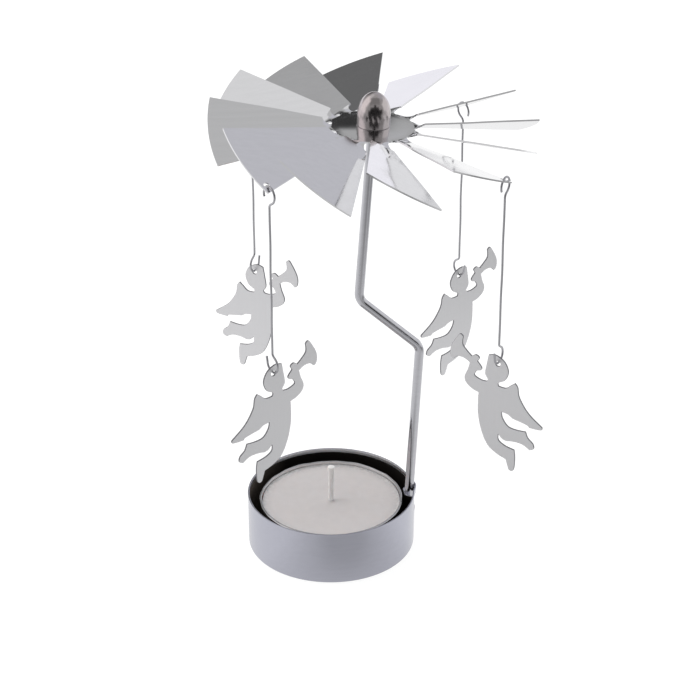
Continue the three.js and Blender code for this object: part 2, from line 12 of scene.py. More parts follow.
import bmesh
import bpy
import numpy as np
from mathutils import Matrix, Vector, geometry


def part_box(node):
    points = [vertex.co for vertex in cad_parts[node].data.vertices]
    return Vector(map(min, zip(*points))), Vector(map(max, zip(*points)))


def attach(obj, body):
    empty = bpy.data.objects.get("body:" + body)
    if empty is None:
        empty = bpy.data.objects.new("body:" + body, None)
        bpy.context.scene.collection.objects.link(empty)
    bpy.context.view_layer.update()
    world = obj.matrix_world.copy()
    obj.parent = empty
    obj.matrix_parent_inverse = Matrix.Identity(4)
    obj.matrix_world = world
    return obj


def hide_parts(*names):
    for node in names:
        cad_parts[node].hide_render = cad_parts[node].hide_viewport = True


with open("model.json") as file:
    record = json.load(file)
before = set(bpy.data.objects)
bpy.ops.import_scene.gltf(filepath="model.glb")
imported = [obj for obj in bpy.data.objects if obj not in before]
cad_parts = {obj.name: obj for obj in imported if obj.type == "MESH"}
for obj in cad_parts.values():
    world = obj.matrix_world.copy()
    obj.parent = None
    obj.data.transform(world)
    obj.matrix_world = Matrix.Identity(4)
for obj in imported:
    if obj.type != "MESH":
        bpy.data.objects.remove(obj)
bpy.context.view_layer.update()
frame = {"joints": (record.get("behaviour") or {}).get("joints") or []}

MM = 0.001
joints = {joint["name"]: joint for joint in frame["joints"]}


def joint_place(name):
    """A joint's point in millimetres and its axis."""
    joint = joints[name]
    return np.array(joint["pos_m"]) / MM, np.array(joint["axis"], float)


def box_mm(node):
    """A node's lowest and highest corner in millimetres."""
    low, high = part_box(node)
    return np.array(low) / MM, np.array(high) / MM


# %% [markdown]
# ## From arrays to meshes
# Every new piece is a surface worked out with numpy. A grid of points becomes quads by pairing each point
# with its neighbours. Where a grid closes on itself or shrinks to a pole, its points coincide, and a weld
# joins them. All shapes are written in millimetres and scaled once, when the mesh is made.

# %% Grids, welds and pieces
# Points closer than this, in millimetres, become one.
WELD = 0.0005


def grid_faces(rows, columns, wrap_rows=False, wrap_columns=False):
    """Corner numbers of every cell: a point, the next in its row, the one across and the one below."""
    row, column = np.meshgrid(
        np.arange(rows if wrap_rows else rows - 1),
        np.arange(columns if wrap_columns else columns - 1),
        indexing="ij",
    )
    below, beside = (row + 1) % rows, (column + 1) % columns
    corners = [(row, column), (row, beside), (below, beside), (below, column)]
    return np.stack([r * columns + c for r, c in corners], axis=-1).reshape(-1, 4)


def weld(mesh, outwards=True):
    """Joins coinciding points, which closes seams and poles, and turns a closed surface's faces outwards."""
    work = bmesh.new()
    work.from_mesh(mesh)
    bmesh.ops.remove_doubles(work, verts=work.verts, dist=WELD * MM)
    if outwards:
        bmesh.ops.recalc_face_normals(work, faces=work.faces)
    work.to_mesh(mesh)
    work.free()


def add_surface(name, points, faces, outwards=True):
    """A mesh object from points in millimetres and lists of corner numbers."""
    mesh = bpy.data.meshes.new(name)
    corners = [face.tolist() if isinstance(face, np.ndarray) else list(face) for face in faces]
    mesh.from_pydata((np.reshape(points, (-1, 3)) * MM).tolist(), [], corners)
    weld(mesh, outwards)
    piece = bpy.data.objects.new(name, mesh)
    bpy.context.scene.collection.objects.link(piece)
    return piece


def settle_modifiers(piece):
    """Replaces a piece's mesh by what its modifiers make of it, so that what is seen is what is stored."""
    graph = bpy.context.evaluated_depsgraph_get()
    made = bpy.data.meshes.new_from_object(piece.evaluated_get(graph))
    piece.modifiers.clear()
    piece.data = made


def finish_piece(piece, body, node, materials, crease=32):
    """Smooths a piece except across edges sharper than the crease, dresses it and seats it in the frame."""
    mesh = piece.data
    mesh.polygons.foreach_set("use_smooth", np.ones(len(mesh.polygons), bool))
    mesh.set_sharp_from_angle(angle=math.radians(crease))
    for material in materials[len(mesh.materials) :]:
        mesh.materials.append(material)
    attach(piece, body)
    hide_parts(node)
    print(f"{piece.name}: {len(mesh.vertices)} points, {len(mesh.polygons)} faces")


# Faces that meet at more degrees than this form a cut edge.
CUT_EDGE_FROM = 50


def thicken(piece, thickness, edge_break, inside_slot=0):
    """Gives a sheet its thickness on both sides of the drawn surface and breaks its cut edges."""
    solid = piece.modifiers.new("thickness", "SOLIDIFY")
    solid.thickness = thickness * MM
    solid.offset = 0
    solid.use_even_offset = True
    solid.material_offset = inside_slot
    edge = piece.modifiers.new("broken_edges", "BEVEL")
    edge.width = edge_break * MM
    edge.segments = 2
    edge.limit_method = "ANGLE"
    edge.angle_limit = math.radians(CUT_EDGE_FROM)
    settle_modifiers(piece)


def smooth_step(value, start, end):
    """Rises from 0 at start to 1 at end, level at both: 3 t squared less 2 t cubed."""
    t = np.clip((value - start) / (end - start), 0, 1)
    return t * t * (3 - 2 * t)


def arc(centre, radii, start, end, count):
    """Points of an ellipse's arc between two angles in degrees: centre plus radii times cosine and sine."""
    angle = np.radians(np.linspace(start, end, count))
    return np.stack([centre[0] + radii[0] * np.cos(angle), centre[1] + radii[1] * np.sin(angle)], axis=-1)


# %% [markdown]
# ## Nodes and colours
# A colour on screen is written as an sRGB hex value, but a shader works with linear light, so one
# function turns one into the other. One more adds a node, sets its values and links its inputs, so that
# each material below reads as a short list of what it is made of.

# %% Colour and node helpers
COLOUR_MIX = {"data_type": "RGBA"}


def linear(colour, strength=1.0):
    """sRGB hex to linear light: c over 12.92 near black, else (c + 0.055) over 1.055 to the power 2.4, and
    then times the strength."""
    c = np.array([int(colour[i : i + 2], 16) for i in (1, 3, 5)]) / 255
    light = np.where(c <= 0.04045, c / 12.92, ((c + 0.055) / 1.055) ** 2.4)
    return (*(light * strength).tolist(), 1.0)


def add_node(tree, kind, settings=None, **inputs):
    """Adds a node: settings are its own properties, inputs are values or the sockets linked to them. An
    input is given by its name, or as _0 and _1 by its place, because a Math node's inputs share a name."""
    node = tree.nodes.new("ShaderNode" + kind)
    for name, value in (settings or {}).items():
        setattr(node, name, value)
    for name, value in inputs.items():
        socket = node.inputs[int(name[1:]) if name[1:].isdigit() else name.replace("_", " ")]
        if isinstance(value, bpy.types.NodeSocket):
            tree.links.new(value, socket)
        else:
            socket.default_value = value
    return node


def new_material(name):
    """An empty material with its output, the Object coordinates in metres and its node tree."""
    material = bpy.data.materials.new(name)
    material.use_nodes = True
    tree = material.node_tree
    tree.nodes.clear()
    output = add_node(tree, "OutputMaterial")
    place = add_node(tree, "TexCoord").outputs["Object"]
    return material, tree, output, place


def per_mm(size):
    """Texture scale whose features are about this many millimetres across, on coordinates in metres."""
    return 1 / (size * MM)


# %% [markdown]
# ## Polished steel
# The rotor, its cap and the cup are pressed from bright rolled stainless sheet, and the rod and the wires
# are drawn bright. That leaves them almost a mirror: metallic, low in roughness, with faint handling haze
# and a slight waviness that bends the reflections. The haze is a soft noise in the roughness and the
# waviness a very shallow bump. One function makes all five, and each gets its own values.

# %% Polished steel


def polished_steel(name, colour, roughness, haze, wave, streak):
    """Bright steel: clouds of haze some 9 mm across vary the roughness, shallow waves some 14 mm long bend
    the shine, and streaks along the rolling direction darken the colour by the share given. Real streaks
    are finer, and are drawn 1 mm wide so that the picture can show them."""
    material, tree, output, place = new_material(name)
    cloud = add_node(tree, "TexNoise", Vector=place, Scale=per_mm(9), Detail=3.0, Roughness=0.55)
    rough = add_node(
        tree, "MapRange", Value=cloud.outputs["Fac"], From_Min=0.3, From_Max=0.7,
        To_Min=roughness - haze, To_Max=roughness + haze,
    )
    along = add_node(tree, "Mapping", Vector=place, Scale=(0.05, 1.0, 1.0))
    lines = add_node(tree, "TexNoise", Vector=along.outputs["Vector"], Scale=per_mm(1.0), Detail=2.0)
    mark = add_node(tree, "MapRange", Value=lines.outputs["Fac"], From_Min=0.35, From_Max=0.65)
    tone = add_node(
        tree, "Mix", COLOUR_MIX, Factor=mark.outputs["Result"],
        A=linear(colour), B=linear(colour, 1 - streak),
    )
    swell = add_node(tree, "TexNoise", Vector=place, Scale=per_mm(14), Detail=1.0)
    bump = add_node(tree, "Bump", Strength=1.0, Distance=wave * MM, Height=swell.outputs["Fac"])
    steel = add_node(
        tree, "BsdfPrincipled", Base_Color=tone.outputs["Result"], Metallic=1.0,
        Roughness=rough.outputs["Result"], Normal=bump.outputs["Normal"],
    )
    tree.links.new(steel.outputs["BSDF"], output.inputs["Surface"])
    return material


# The rotor's rolled sheet is the clearest mirror: its blades show the studio as bright and dark planes.
rotor_steel = polished_steel("polished_rolled_steel", "#E5E5E7", 0.1, 0.03, 0.07, streak=0.025)
# The cap is drawn deep, which stretches and dulls the sheet: its dome shows soft, warm grey bands.
cap_steel = polished_steel("polished_drawn_steel", "#BFB8B8", 0.19, 0.02, 0.0, streak=0.03)
# The cup is drawn too, and a little blue: its wall is a calm plane with no sharp reflection.
cup_steel = polished_steel("bright_drawn_cup_steel", "#BFC0CB", 0.2, 0.04, 0.02, streak=0.02)
# Chrome makes the rod smooth: a bright line runs along it beside a dark one.
rod_steel = polished_steel("polished_chrome_rod", "#C4C4C9", 0.12, 0.02, 0.0, streak=0.04)
# Drawing scratches a wire all along, so it spreads the light and looks an even grey.
wire_steel = polished_steel("bright_drawn_wire", "#BABABE", 0.36, 0.04, 0.0, streak=0.04)
print("polished steels made")

# %% [markdown]
# ## Satin steel, dark steel, foil, wax and cotton
# The angels are stamped from duller sheet with a fine rolling grain, and the punch leaves their cut edges
# rough; their dark colour is partly painted shade. Inside the cup the steel is darkened by heat, paler on
# the left, with a bare lip. The tealight's shell is thin bright foil and its candle paraffin wax, which lets
# light in a little way before it scatters back, with painted highlights near the foil. The wick is cotton,
# drawn paler low down as painted light. They have little in common, so each has a function of its own.

# %% Satin steel and its sheared edge


def satin_sheet():
    """Rolled steel left dull: streaks along the rolling direction vary colour and roughness a little, which
    gives a soft sheen with no clear reflection. Real streaks are finer, and are drawn 0.5 mm wide to show."""
    material, tree, output, place = new_material("satin_rolled_steel")
    along = add_node(tree, "Mapping", Vector=place, Scale=(1.0, 1.0, 0.06))
    streak = add_node(tree, "TexNoise", Vector=along.outputs["Vector"], Scale=per_mm(0.5), Detail=2.0)
    tone = add_node(
        tree, "Mix", COLOUR_MIX, Factor=streak.outputs["Fac"], A=linear("#E4E4E6"), B=linear("#EAEAEC")
    )
    rough = add_node(tree, "MapRange", Value=streak.outputs["Fac"], To_Min=0.48, To_Max=0.58)
    bump = add_node(tree, "Bump", Strength=0.3, Distance=0.004 * MM, Height=streak.outputs["Fac"])
    steel = add_node(
        tree, "BsdfPrincipled", Base_Color=tone.outputs["Result"], Metallic=1.0,
        Roughness=rough.outputs["Result"], Normal=bump.outputs["Normal"],
    )
    tree.links.new(steel.outputs["BSDF"], output.inputs["Surface"])
    return material


def sheared_and_shaded_edge():
    """The cut edge of a stamping: torn rough by the punch, so it is duller than the sheet, and drawn darker,
    which is partly painted shade. The tears are drawn 0.4 mm across, coarser than real ones, so that the
    picture can show them."""
    material, tree, output, place = new_material("punched_edge_painted_shade")
    tear = add_node(tree, "TexNoise", Vector=place, Scale=per_mm(0.4), Detail=2.0)
    # Painted shade: these dark tones stand partly for the shade along the plates' edges.
    tone = add_node(
        tree, "Mix", COLOUR_MIX, Factor=tear.outputs["Fac"], A=linear("#6E6E72"), B=linear("#98989C")
    )
    edge = add_node(tree, "BsdfPrincipled", Base_Color=tone.outputs["Result"], Metallic=1.0, Roughness=0.55)
    tree.links.new(edge.outputs["BSDF"], output.inputs["Surface"])
    return material


angel_steel = satin_sheet()
angel_edge = sheared_and_shaded_edge()
print("satin steel and sheared edge made")

# %% Dark steel and foil
PALE_SIDE_FROM = -10
PALE_SIDE_TO = -20
BARE_LIP_FROM = 13.6
LIP_BLEND = 0.1


def dark_steel():
    """Steel gone brown-black inside the cup from heat and soot, clouded in patches 4 mm across. It is paler
    towards -X, and the lip, which a cloth reaches, is bare and bright."""
    material, tree, output, place = new_material("heat_darkened_steel")
    cloud = add_node(tree, "TexNoise", Vector=place, Scale=per_mm(4), Detail=4.0)
    tone = add_node(
        tree, "Mix", COLOUR_MIX, Factor=cloud.outputs["Fac"], A=linear("#0A0807"), B=linear("#1C1714")
    )
    part = add_node(tree, "SeparateXYZ", Vector=place)
    # The lining turns paler towards -X.
    pale_side = add_node(
        tree, "MapRange", Value=part.outputs["X"], From_Min=PALE_SIDE_FROM * MM, From_Max=PALE_SIDE_TO * MM
    )
    soot = add_node(
        tree, "Mix", COLOUR_MIX, Factor=pale_side.outputs["Result"], A=tone.outputs["Result"], B=linear("#5A524C")
    )
    lip = add_node(
        tree, "MapRange", Value=part.outputs["Z"],
        From_Min=BARE_LIP_FROM * MM, From_Max=(BARE_LIP_FROM + LIP_BLEND) * MM,
    )
    cover = add_node(
        tree, "Mix", COLOUR_MIX, Factor=lip.outputs["Result"], A=soot.outputs["Result"], B=linear("#E0E1E4")
    )
    rough = add_node(tree, "MapRange", Value=lip.outputs["Result"], To_Min=0.7, To_Max=0.35)
    lining = add_node(
        tree, "BsdfPrincipled", Base_Color=cover.outputs["Result"], Metallic=lip.outputs["Result"],
        Roughness=rough.outputs["Result"], Specular_IOR_Level=0.2,
    )
    tree.links.new(lining.outputs["BSDF"], output.inputs["Surface"])
    return material


def foil():
    """Pressed aluminium foil: bright, and broken into glints by dents about 1.5 mm across from pressing."""
    material, tree, output, place = new_material("pressed_aluminium_foil")
    dents = add_node(tree, "TexNoise", Vector=place, Scale=per_mm(1.5), Detail=2.0)
    bump = add_node(tree, "Bump", Strength=0.6, Distance=0.03 * MM, Height=dents.outputs["Fac"])
    shell = add_node(
        tree, "BsdfPrincipled", Base_Color=linear("#D2D2D3"), Metallic=1.0, Roughness=0.26,
        Normal=bump.outputs["Normal"],
    )
    tree.links.new(shell.outputs["BSDF"], output.inputs["Surface"])
    return material


cup_inside = dark_steel()
tealight_foil = foil()
print("dark steel and foil made")

# %% Wax and cotton
DULL_FROM = 15.5
DULL_TO = 18.4
PAINTED_LIGHT_TO = 15.0
PLAIN_FROM = 20.0


def wax():
    """Paraffin wax: milky and softly see-through, clouded in patches 2.4 mm across. Towards the foil it is
    duller, with painted highlights in light flecks about 0.8 mm across; the same grain gives a fine bump all
    over."""
    material, tree, output, place = new_material("paraffin_wax")
    mottle = add_node(tree, "TexNoise", Vector=place, Scale=per_mm(2.4), Detail=4.0, Roughness=0.6)
    tone = add_node(
        tree, "Mix", COLOUR_MIX, Factor=mottle.outputs["Fac"], A=linear("#CAC6C5"), B=linear("#D4D0CF")
    )
    flat = add_node(tree, "Mapping", Vector=place, Scale=(1.0, 1.0, 0.0))
    out = add_node(tree, "VectorMath", {"operation": "LENGTH"}, _0=flat.outputs["Vector"])
    rim = add_node(
        tree, "MapRange", Value=out.outputs["Value"], From_Min=DULL_FROM * MM, From_Max=DULL_TO * MM
    )
    dull = add_node(
        tree, "Mix", COLOUR_MIX, Factor=rim.outputs["Result"], A=tone.outputs["Result"], B=linear("#BEBABA")
    )
    grain = add_node(tree, "TexNoise", Vector=place, Scale=per_mm(0.8), Detail=3.0)
    fleck = add_node(tree, "MapRange", Value=grain.outputs["Fac"], From_Min=0.42, From_Max=0.66)
    # Painted highlight: light flecks in the wax colour near the foil.
    painted_highlight_flecks = add_node(
        tree, "Math", {"operation": "MULTIPLY"}, _0=rim.outputs["Result"], _1=fleck.outputs["Result"]
    )
    skin = add_node(
        tree, "Mix", COLOUR_MIX, Factor=painted_highlight_flecks.outputs["Value"], A=dull.outputs["Result"], B=linear("#D6D3D2")
    )
    bump = add_node(tree, "Bump", Strength=0.5, Distance=0.05 * MM, Height=grain.outputs["Fac"])
    body = add_node(
        tree, "BsdfPrincipled", Base_Color=skin.outputs["Result"], Roughness=0.5, IOR=1.44,
        Subsurface_Weight=0.5, Subsurface_Radius=(1.0, 0.8, 0.7), Subsurface_Scale=1.5 * MM,
        Normal=bump.outputs["Normal"],
    )
    tree.links.new(body.outputs["BSDF"], output.inputs["Surface"])
    return material


def cotton():
    """Waxed cotton cord: off-white and dull. Low down it is drawn paler, painted light that lifts the shade
    on its lower part, so that part is as pale as the candle. Real fibres are finer, and are drawn 0.6 mm
    apart to show in the picture."""
    material, tree, output, place = new_material("waxed_cotton")
    fibre = add_node(tree, "TexNoise", Vector=place, Scale=per_mm(0.6), Detail=3.0)
    tone = add_node(
        tree, "Mix", COLOUR_MIX, Factor=fibre.outputs["Fac"], A=linear("#EEECEA"), B=linear("#F8F6F4")
    )
    height = add_node(tree, "SeparateXYZ", Vector=place).outputs["Z"]
    # Painted light: low down the cord is drawn paler, which lifts the shade on its lower part.
    plain_share = add_node(tree, "MapRange", Value=height, From_Min=PAINTED_LIGHT_TO * MM, From_Max=PLAIN_FROM * MM)
    wick_tone = add_node(
        tree, "Mix", COLOUR_MIX, Factor=plain_share.outputs["Result"], A=linear("#FCFAF9"), B=tone.outputs["Result"]
    )
    bump = add_node(tree, "Bump", Strength=0.5, Distance=0.05 * MM, Height=fibre.outputs["Fac"])
    cord = add_node(
        tree, "BsdfPrincipled", Base_Color=wick_tone.outputs["Result"], Roughness=0.9, Specular_IOR_Level=0.1,
        Subsurface_Weight=0.3, Subsurface_Radius=(1.0, 0.9, 0.85), Subsurface_Scale=0.6 * MM,
        Normal=bump.outputs["Normal"],
    )
    tree.links.new(cord.outputs["BSDF"], output.inputs["Surface"])
    return material


candle_wax = wax()
wick_cotton = cotton()
print("wax and cotton made")

# %% [markdown]
# ## Turned pieces: the tealight
# A tealight is round, so each of its pieces is a profile turned about the cup's axis: the shell with its
# rolled rim, the wax with a rim where it climbed the foil as it set, and the sustainer that grips the
# wick. A lathe is the plainest function of two parameters: radius and height along one, angle along the
# other. Blender's Screw modifier could turn them too, but as arrays the foil's rim can be rippled and the
# wick twisted in the same step.

# %% The lathe


def turned(profile, columns):
    """Points of a turned surface: each profile point [radius, height] carried round the Z axis."""
    angle = np.linspace(0, 2 * np.pi, columns, endpoint=False)[:, None]
    radius, height = np.asarray(profile, float).T
    return np.stack(
        [radius * np.cos(angle), radius * np.sin(angle), np.broadcast_to(height, (columns, len(height)))],
        axis=-1,
    )


def turned_piece(name, profile, columns):
    """A turned surface as an object, closed where the profile meets the axis."""
    points = turned(profile, columns)
    return add_surface(name, points, grid_faces(columns, len(profile), wrap_rows=True))


# %% The tealight's shell
SHELL_WALL = 0.3
SHELL_CORNER = 0.8
SHELL_INSIDE_CORNER = 0.5
SHELL_LIP = 0.12
SHELL_COLUMNS = 144
RIM_ROLL = 0.4
RIM_RIPPLE = 0.05
RIPPLE_DEPTH = 4
RIPPLE_FROM = 17
RIPPLE_WHOLE = 18

shell_low, shell_high = box_mm("tealight_cup")
SHELL_RADIUS = shell_high[0] - RIM_ROLL
SHELL_INSIDE = SHELL_RADIUS - SHELL_WALL
SHELL_FOOT = shell_low[2]
SHELL_TOP = shell_high[2]
SHELL_FLOOR = SHELL_FOOT + SHELL_WALL

shell_profile = np.concatenate([
    [[0, SHELL_FOOT], [8, SHELL_FOOT]],
    arc((SHELL_RADIUS - SHELL_CORNER, SHELL_FOOT + SHELL_CORNER), (SHELL_CORNER, SHELL_CORNER), -90, 0, 7),
    [[SHELL_RADIUS, SHELL_TOP - 2 * RIM_ROLL]],
    arc((SHELL_RADIUS, SHELL_TOP - RIM_ROLL), (RIM_ROLL, RIM_ROLL), -60, 90, 11),
    arc((SHELL_INSIDE + SHELL_LIP, SHELL_TOP - SHELL_LIP), (SHELL_LIP, SHELL_LIP), 90, 180, 4),
    arc(
        (SHELL_INSIDE - SHELL_INSIDE_CORNER, SHELL_FLOOR + SHELL_INSIDE_CORNER),
        (SHELL_INSIDE_CORNER, SHELL_INSIDE_CORNER), 0, -90, 6,
    ),
    [[0, SHELL_FLOOR]],
])
shell_points = turned(shell_profile, SHELL_COLUMNS)
# Pressing leaves the rim uneven: three waves of unlike length add up, and die away down the wall.
turn = np.arctan2(shell_points[:, 3:4, 1], shell_points[:, 3:4, 0])
ripple = np.sin(7 * turn) + 0.7 * np.sin(13 * turn + 1) + 0.6 * np.sin(23 * turn + 2)
ripple = RIM_RIPPLE * ripple * smooth_step(shell_points[:, :, 2], SHELL_TOP - RIPPLE_DEPTH, SHELL_TOP)
out = np.hypot(shell_points[:, :, 0], shell_points[:, :, 1])
shell_points[:, :, 2] += 0.6 * ripple * smooth_step(out, RIPPLE_FROM, RIPPLE_WHOLE)
shell_points[:, :, :2] *= 1 + (ripple / SHELL_RADIUS)[:, :, None]
shell_faces = grid_faces(SHELL_COLUMNS, len(shell_profile), wrap_rows=True)
shell = add_surface("tealight_shell", shell_points, shell_faces)
finish_piece(shell, "tealight", "tealight_cup", [tealight_foil])

# %% The wick's sustainer
FIT_GAP = 0.15
FOOT_SHEET = 0.25
FOOT_NECK_WALL = 0.4
FOOT_COLUMNS = 48

wick_low, wick_high = box_mm("tealight_wick")
foot_low, foot_high = box_mm("wick_sustainer")
WICK_RADIUS = wick_high[0]
WICK_BORE = WICK_RADIUS + FIT_GAP
FOOT_NECK = WICK_BORE + FOOT_NECK_WALL

foot_profile = [
    [WICK_BORE, foot_low[2]],
    [foot_high[0], foot_low[2]],
    [foot_high[0], foot_low[2] + FOOT_SHEET],
    [FOOT_NECK, foot_low[2] + FOOT_SHEET],
    [FOOT_NECK, foot_high[2]],
    [WICK_BORE, foot_high[2]],
    [WICK_BORE, foot_low[2]],
]
wick_foot = turned_piece("wick_foot", foot_profile, FOOT_COLUMNS)
finish_piece(wick_foot, "tealight", "wick_sustainer", [tealight_foil])

# %% The wax
WAX_RIM_RISE = 0.6
WAX_CORNER = 0.6
WAX_COLUMNS = 128
WAX_HOLLOW = 0.12
FOIL_CLIMB = 0.45
FOIL_REACH = 0.4
WICK_CLIMB = 0.3
WICK_REACH = 0.6

wax_low, wax_high = box_mm("tealight_wax")
WAX_RADIUS = wax_high[0]
WAX_LEVEL = wax_high[2] - WAX_RIM_RISE


def wax_height(radius):
    """The set wax: a level surface, hollow by a squared sine half way out, which climbs the foil and the wick
    by a height that dies away exponentially with the distance from them."""
    hollow = -WAX_HOLLOW * np.sin(np.pi * np.clip(radius / WAX_RADIUS, 0, 1)) ** 2
    climb = FOIL_CLIMB * np.exp(-(WAX_RADIUS - radius) / FOIL_REACH)
    collar = WICK_CLIMB * np.exp(-(radius - WICK_RADIUS) / WICK_REACH)
    return WAX_LEVEL + hollow + climb + collar


# The rows are closest where the wax climbs, along the foil and round the wick, and the wax closes on the
# wick a little inside its surface.
wick_hole = 0.9 * WICK_RADIUS
wax_radius = np.concatenate([
    np.linspace(WAX_RADIUS, WAX_RADIUS - 2, 14), np.linspace(15.5, 2.6, 24), np.linspace(2.3, wick_hole, 9)
])
wax_profile = np.concatenate([
    [[foot_high[0] + FIT_GAP, wax_low[2]]],
    [[WAX_RADIUS - WAX_CORNER, wax_low[2]], [WAX_RADIUS, wax_low[2] + WAX_CORNER]],
    np.stack([wax_radius, wax_height(wax_radius)], axis=-1),
    [[wick_hole, foot_high[2] + FIT_GAP], [FOOT_NECK + FIT_GAP, foot_high[2] + FIT_GAP]],
    [[FOOT_NECK + FIT_GAP, foot_low[2] + FOOT_SHEET + FIT_GAP]],
    [[foot_high[0] + FIT_GAP, foot_low[2] + FOOT_SHEET + FIT_GAP], [foot_high[0] + FIT_GAP, wax_low[2]]],
])
wax_body = turned_piece("candle_wax", wax_profile, WAX_COLUMNS)
finish_piece(wax_body, "tealight", "tealight_wax", [candle_wax], crease=60)

# %% The wick
STRAND_COUNT = 3
STRAND_PITCH = 2.2
WICK_FLARE = 0.25
FLARE_LENGTH = 5
WICK_END = 0.35


def wick_surface(columns=36, rows=60):
    """Twisted strands in wax: the radius swells from 0.94 to 1 once for each strand on the way round, and
    the swelling climbs as it turns. The wick flares towards its end, which is rounded as a square root."""
    turn = np.linspace(0, 2 * np.pi, columns, endpoint=False)[:, None]
    height = np.linspace(wick_low[2], wick_high[2], rows)[None, :]
    lay = STRAND_COUNT * turn + 2 * np.pi * height / STRAND_PITCH
    free = smooth_step(height, WAX_LEVEL, WAX_LEVEL + 1)
    flare = WICK_FLARE * smooth_step(height, wick_high[2] - FLARE_LENGTH, wick_high[2])
    radius = WICK_RADIUS * (0.94 + free * (0.06 * np.cos(lay) + flare))
    end = np.sqrt(np.clip((wick_high[2] - height) / WICK_END, 0, 1))
    radius = radius * np.where(height > wick_high[2] - WICK_END, end, 1)
    radius[:, 0] = 0
    return np.stack(np.broadcast_arrays(radius * np.cos(turn), radius * np.sin(turn), height), axis=-1)


wick_points = wick_surface()
wick = add_surface("candle_wick", wick_points, grid_faces(*wick_points.shape[:2], wrap_rows=True))
finish_piece(wick, "tealight", "tealight_wick", [wick_cotton], crease=60)

# %% [markdown]
# ## The candle cup
# The cup is drawn from sheet. Beside the rod its wall is slit twice, and the band between the slits is
# pushed inwards into a strap that grips the rod's foot against the rim, which bulges out a little. Cutting
# the slits with a Boolean would leave ragged faces. On a grid they are simple: all rows share one formula,
# the band's rows get the strap's plan line instead, and the cells along the two slits are left out. A
# Solidify modifier then gives the sheet its thickness.

# %% The candle cup
CUP_WALL = 0.4
CUP_CORNER = 0.6
RIM_BULGE = 0.75
BULGE_HALF_WIDTH = 4.2
STRAP_CLEARANCE = 0.4
STRAP_INSIDE = SHELL_RADIUS + RIM_ROLL + STRAP_CLEARANCE
STRAP_TOP_BELOW_RIM = 2.1
STRAP_HEIGHT = 4.0
STRAP_HALF_SPAN = 3.6
STRAP_FLAT_HALF = 1.25
SLIT = 0.2
CUP_EDGE_BREAK = 0.08
FINE_SECTOR = 14

_, cup_high = box_mm("candle_cup")
CUP_RADIUS = cup_high[1]
CUP_HEIGHT = cup_high[2]
SHEET_RADIUS = CUP_RADIUS - CUP_WALL / 2
strap_top = CUP_HEIGHT - STRAP_TOP_BELOW_RIM
strap_bottom = strap_top - STRAP_HEIGHT


def cup_sheet():
    """Middle surface of the cup: a profile turned about Z, swollen out by the bulge and in by the strap.

    The bulge grows with height and dies away beside the rod as a squared cosine. In the strap's rows the
    plan line runs straight across the rod's flat and then eases out to the wall on both sides. The columns
    are closest in the sector beside the rod.
    """
    near = np.radians(np.linspace(-FINE_SECTOR, FINE_SECTOR, 81))
    far = np.radians(np.linspace(FINE_SECTOR, 360 - FINE_SECTOR, 150))[1:-1]
    angle = np.concatenate([near, far])[:, None]
    corner = CUP_CORNER - CUP_WALL / 2
    heights = np.concatenate([
        np.linspace(corner + CUP_WALL / 2, strap_bottom - SLIT, 8),
        np.linspace(strap_bottom, strap_top, 9),
        np.linspace(strap_top + SLIT, CUP_HEIGHT, 6),
    ])
    floor = np.stack([np.linspace(0, SHEET_RADIUS - corner, 9)[:-1], np.full(8, CUP_WALL / 2)], axis=-1)
    bend = arc((SHEET_RADIUS - corner, CUP_WALL / 2 + corner), (corner, corner), -90, 0, 7)[:-1]
    wall = np.stack([np.full(len(heights), SHEET_RADIUS), heights], axis=-1)
    radius, height = np.concatenate([floor, bend, wall]).T
    x, y = radius * np.cos(angle), radius * np.sin(angle)
    z = np.broadcast_to(height, x.shape)
    rise = np.clip((z - CUP_CORNER) / (CUP_HEIGHT - CUP_CORNER), 0, 1)
    beside = np.cos(np.pi / 2 * np.clip(np.abs(y) / BULGE_HALF_WIDTH, 0, 1)) ** 2
    bulged = x + np.where(x > 0, RIM_BULGE * rise * beside, 0)
    flat = STRAP_INSIDE + CUP_WALL / 2
    out = smooth_step(np.abs(y), STRAP_FLAT_HALF, STRAP_HALF_SPAN)
    strap = flat + (np.sqrt(np.clip(SHEET_RADIUS**2 - y**2, 0, None)) - flat) * out
    lanced = (x > 0) & (np.abs(y) < STRAP_HALF_SPAN)
    in_band = (z > strap_bottom - SLIT / 2) & (z < strap_top + SLIT / 2)
    points = np.stack([np.where(lanced & in_band, strap, bulged), y, z], axis=-1)
    faces = grid_faces(*x.shape, wrap_rows=True)
    middle = points.reshape(-1, 3)[faces].mean(axis=1)
    slit = (np.abs(middle[:, 2] - strap_top - SLIT / 2) < SLIT / 2) | (
        np.abs(middle[:, 2] - strap_bottom + SLIT / 2) < SLIT / 2
    )
    cut = slit & (middle[:, 0] > 0) & (np.abs(middle[:, 1]) < STRAP_HALF_SPAN)
    return points, faces[~cut]


points, faces = cup_sheet()
cup = add_surface("cup_shell", points, faces)
cup.data.materials.append(cup_steel)
cup.data.materials.append(cup_inside)
thicken(cup, CUP_WALL, CUP_EDGE_BREAK, inside_slot=1)
finish_piece(cup, "base", "candle_cup", [cup_steel, cup_inside], crease=25)

# %% [markdown]
# ## The support rod
# A rod bent in one plane is a circle carried along a path. The path is straight between two rounded
# corners, and because it never leaves its plane, the circle's frame needs no twist: one direction is the
# plane's normal, and the other follows the path. A curve object with a round bevel would draw the same
# rod, but a grid of circles can also shrink to the point and be flattened where the strap presses on it.

# %% Sweeping a circle along a flat path


def tube(path, plane_normal, radii, sides):
    """A circle of the given radius at each path point, square to the path: the sum of cosine times the
    in-plane direction and sine times the plane's normal."""
    ahead = np.gradient(path, axis=0)
    ahead /= np.linalg.norm(ahead, axis=1, keepdims=True)
    inward = np.cross(plane_normal, ahead)
    turn = np.linspace(0, 2 * np.pi, sides, endpoint=False)
    ring = np.cos(turn)[None, :, None] * inward[:, None, :] + np.sin(turn)[None, :, None] * plane_normal
    return path[:, None, :] + np.reshape(radii, (-1, 1, 1)) * ring


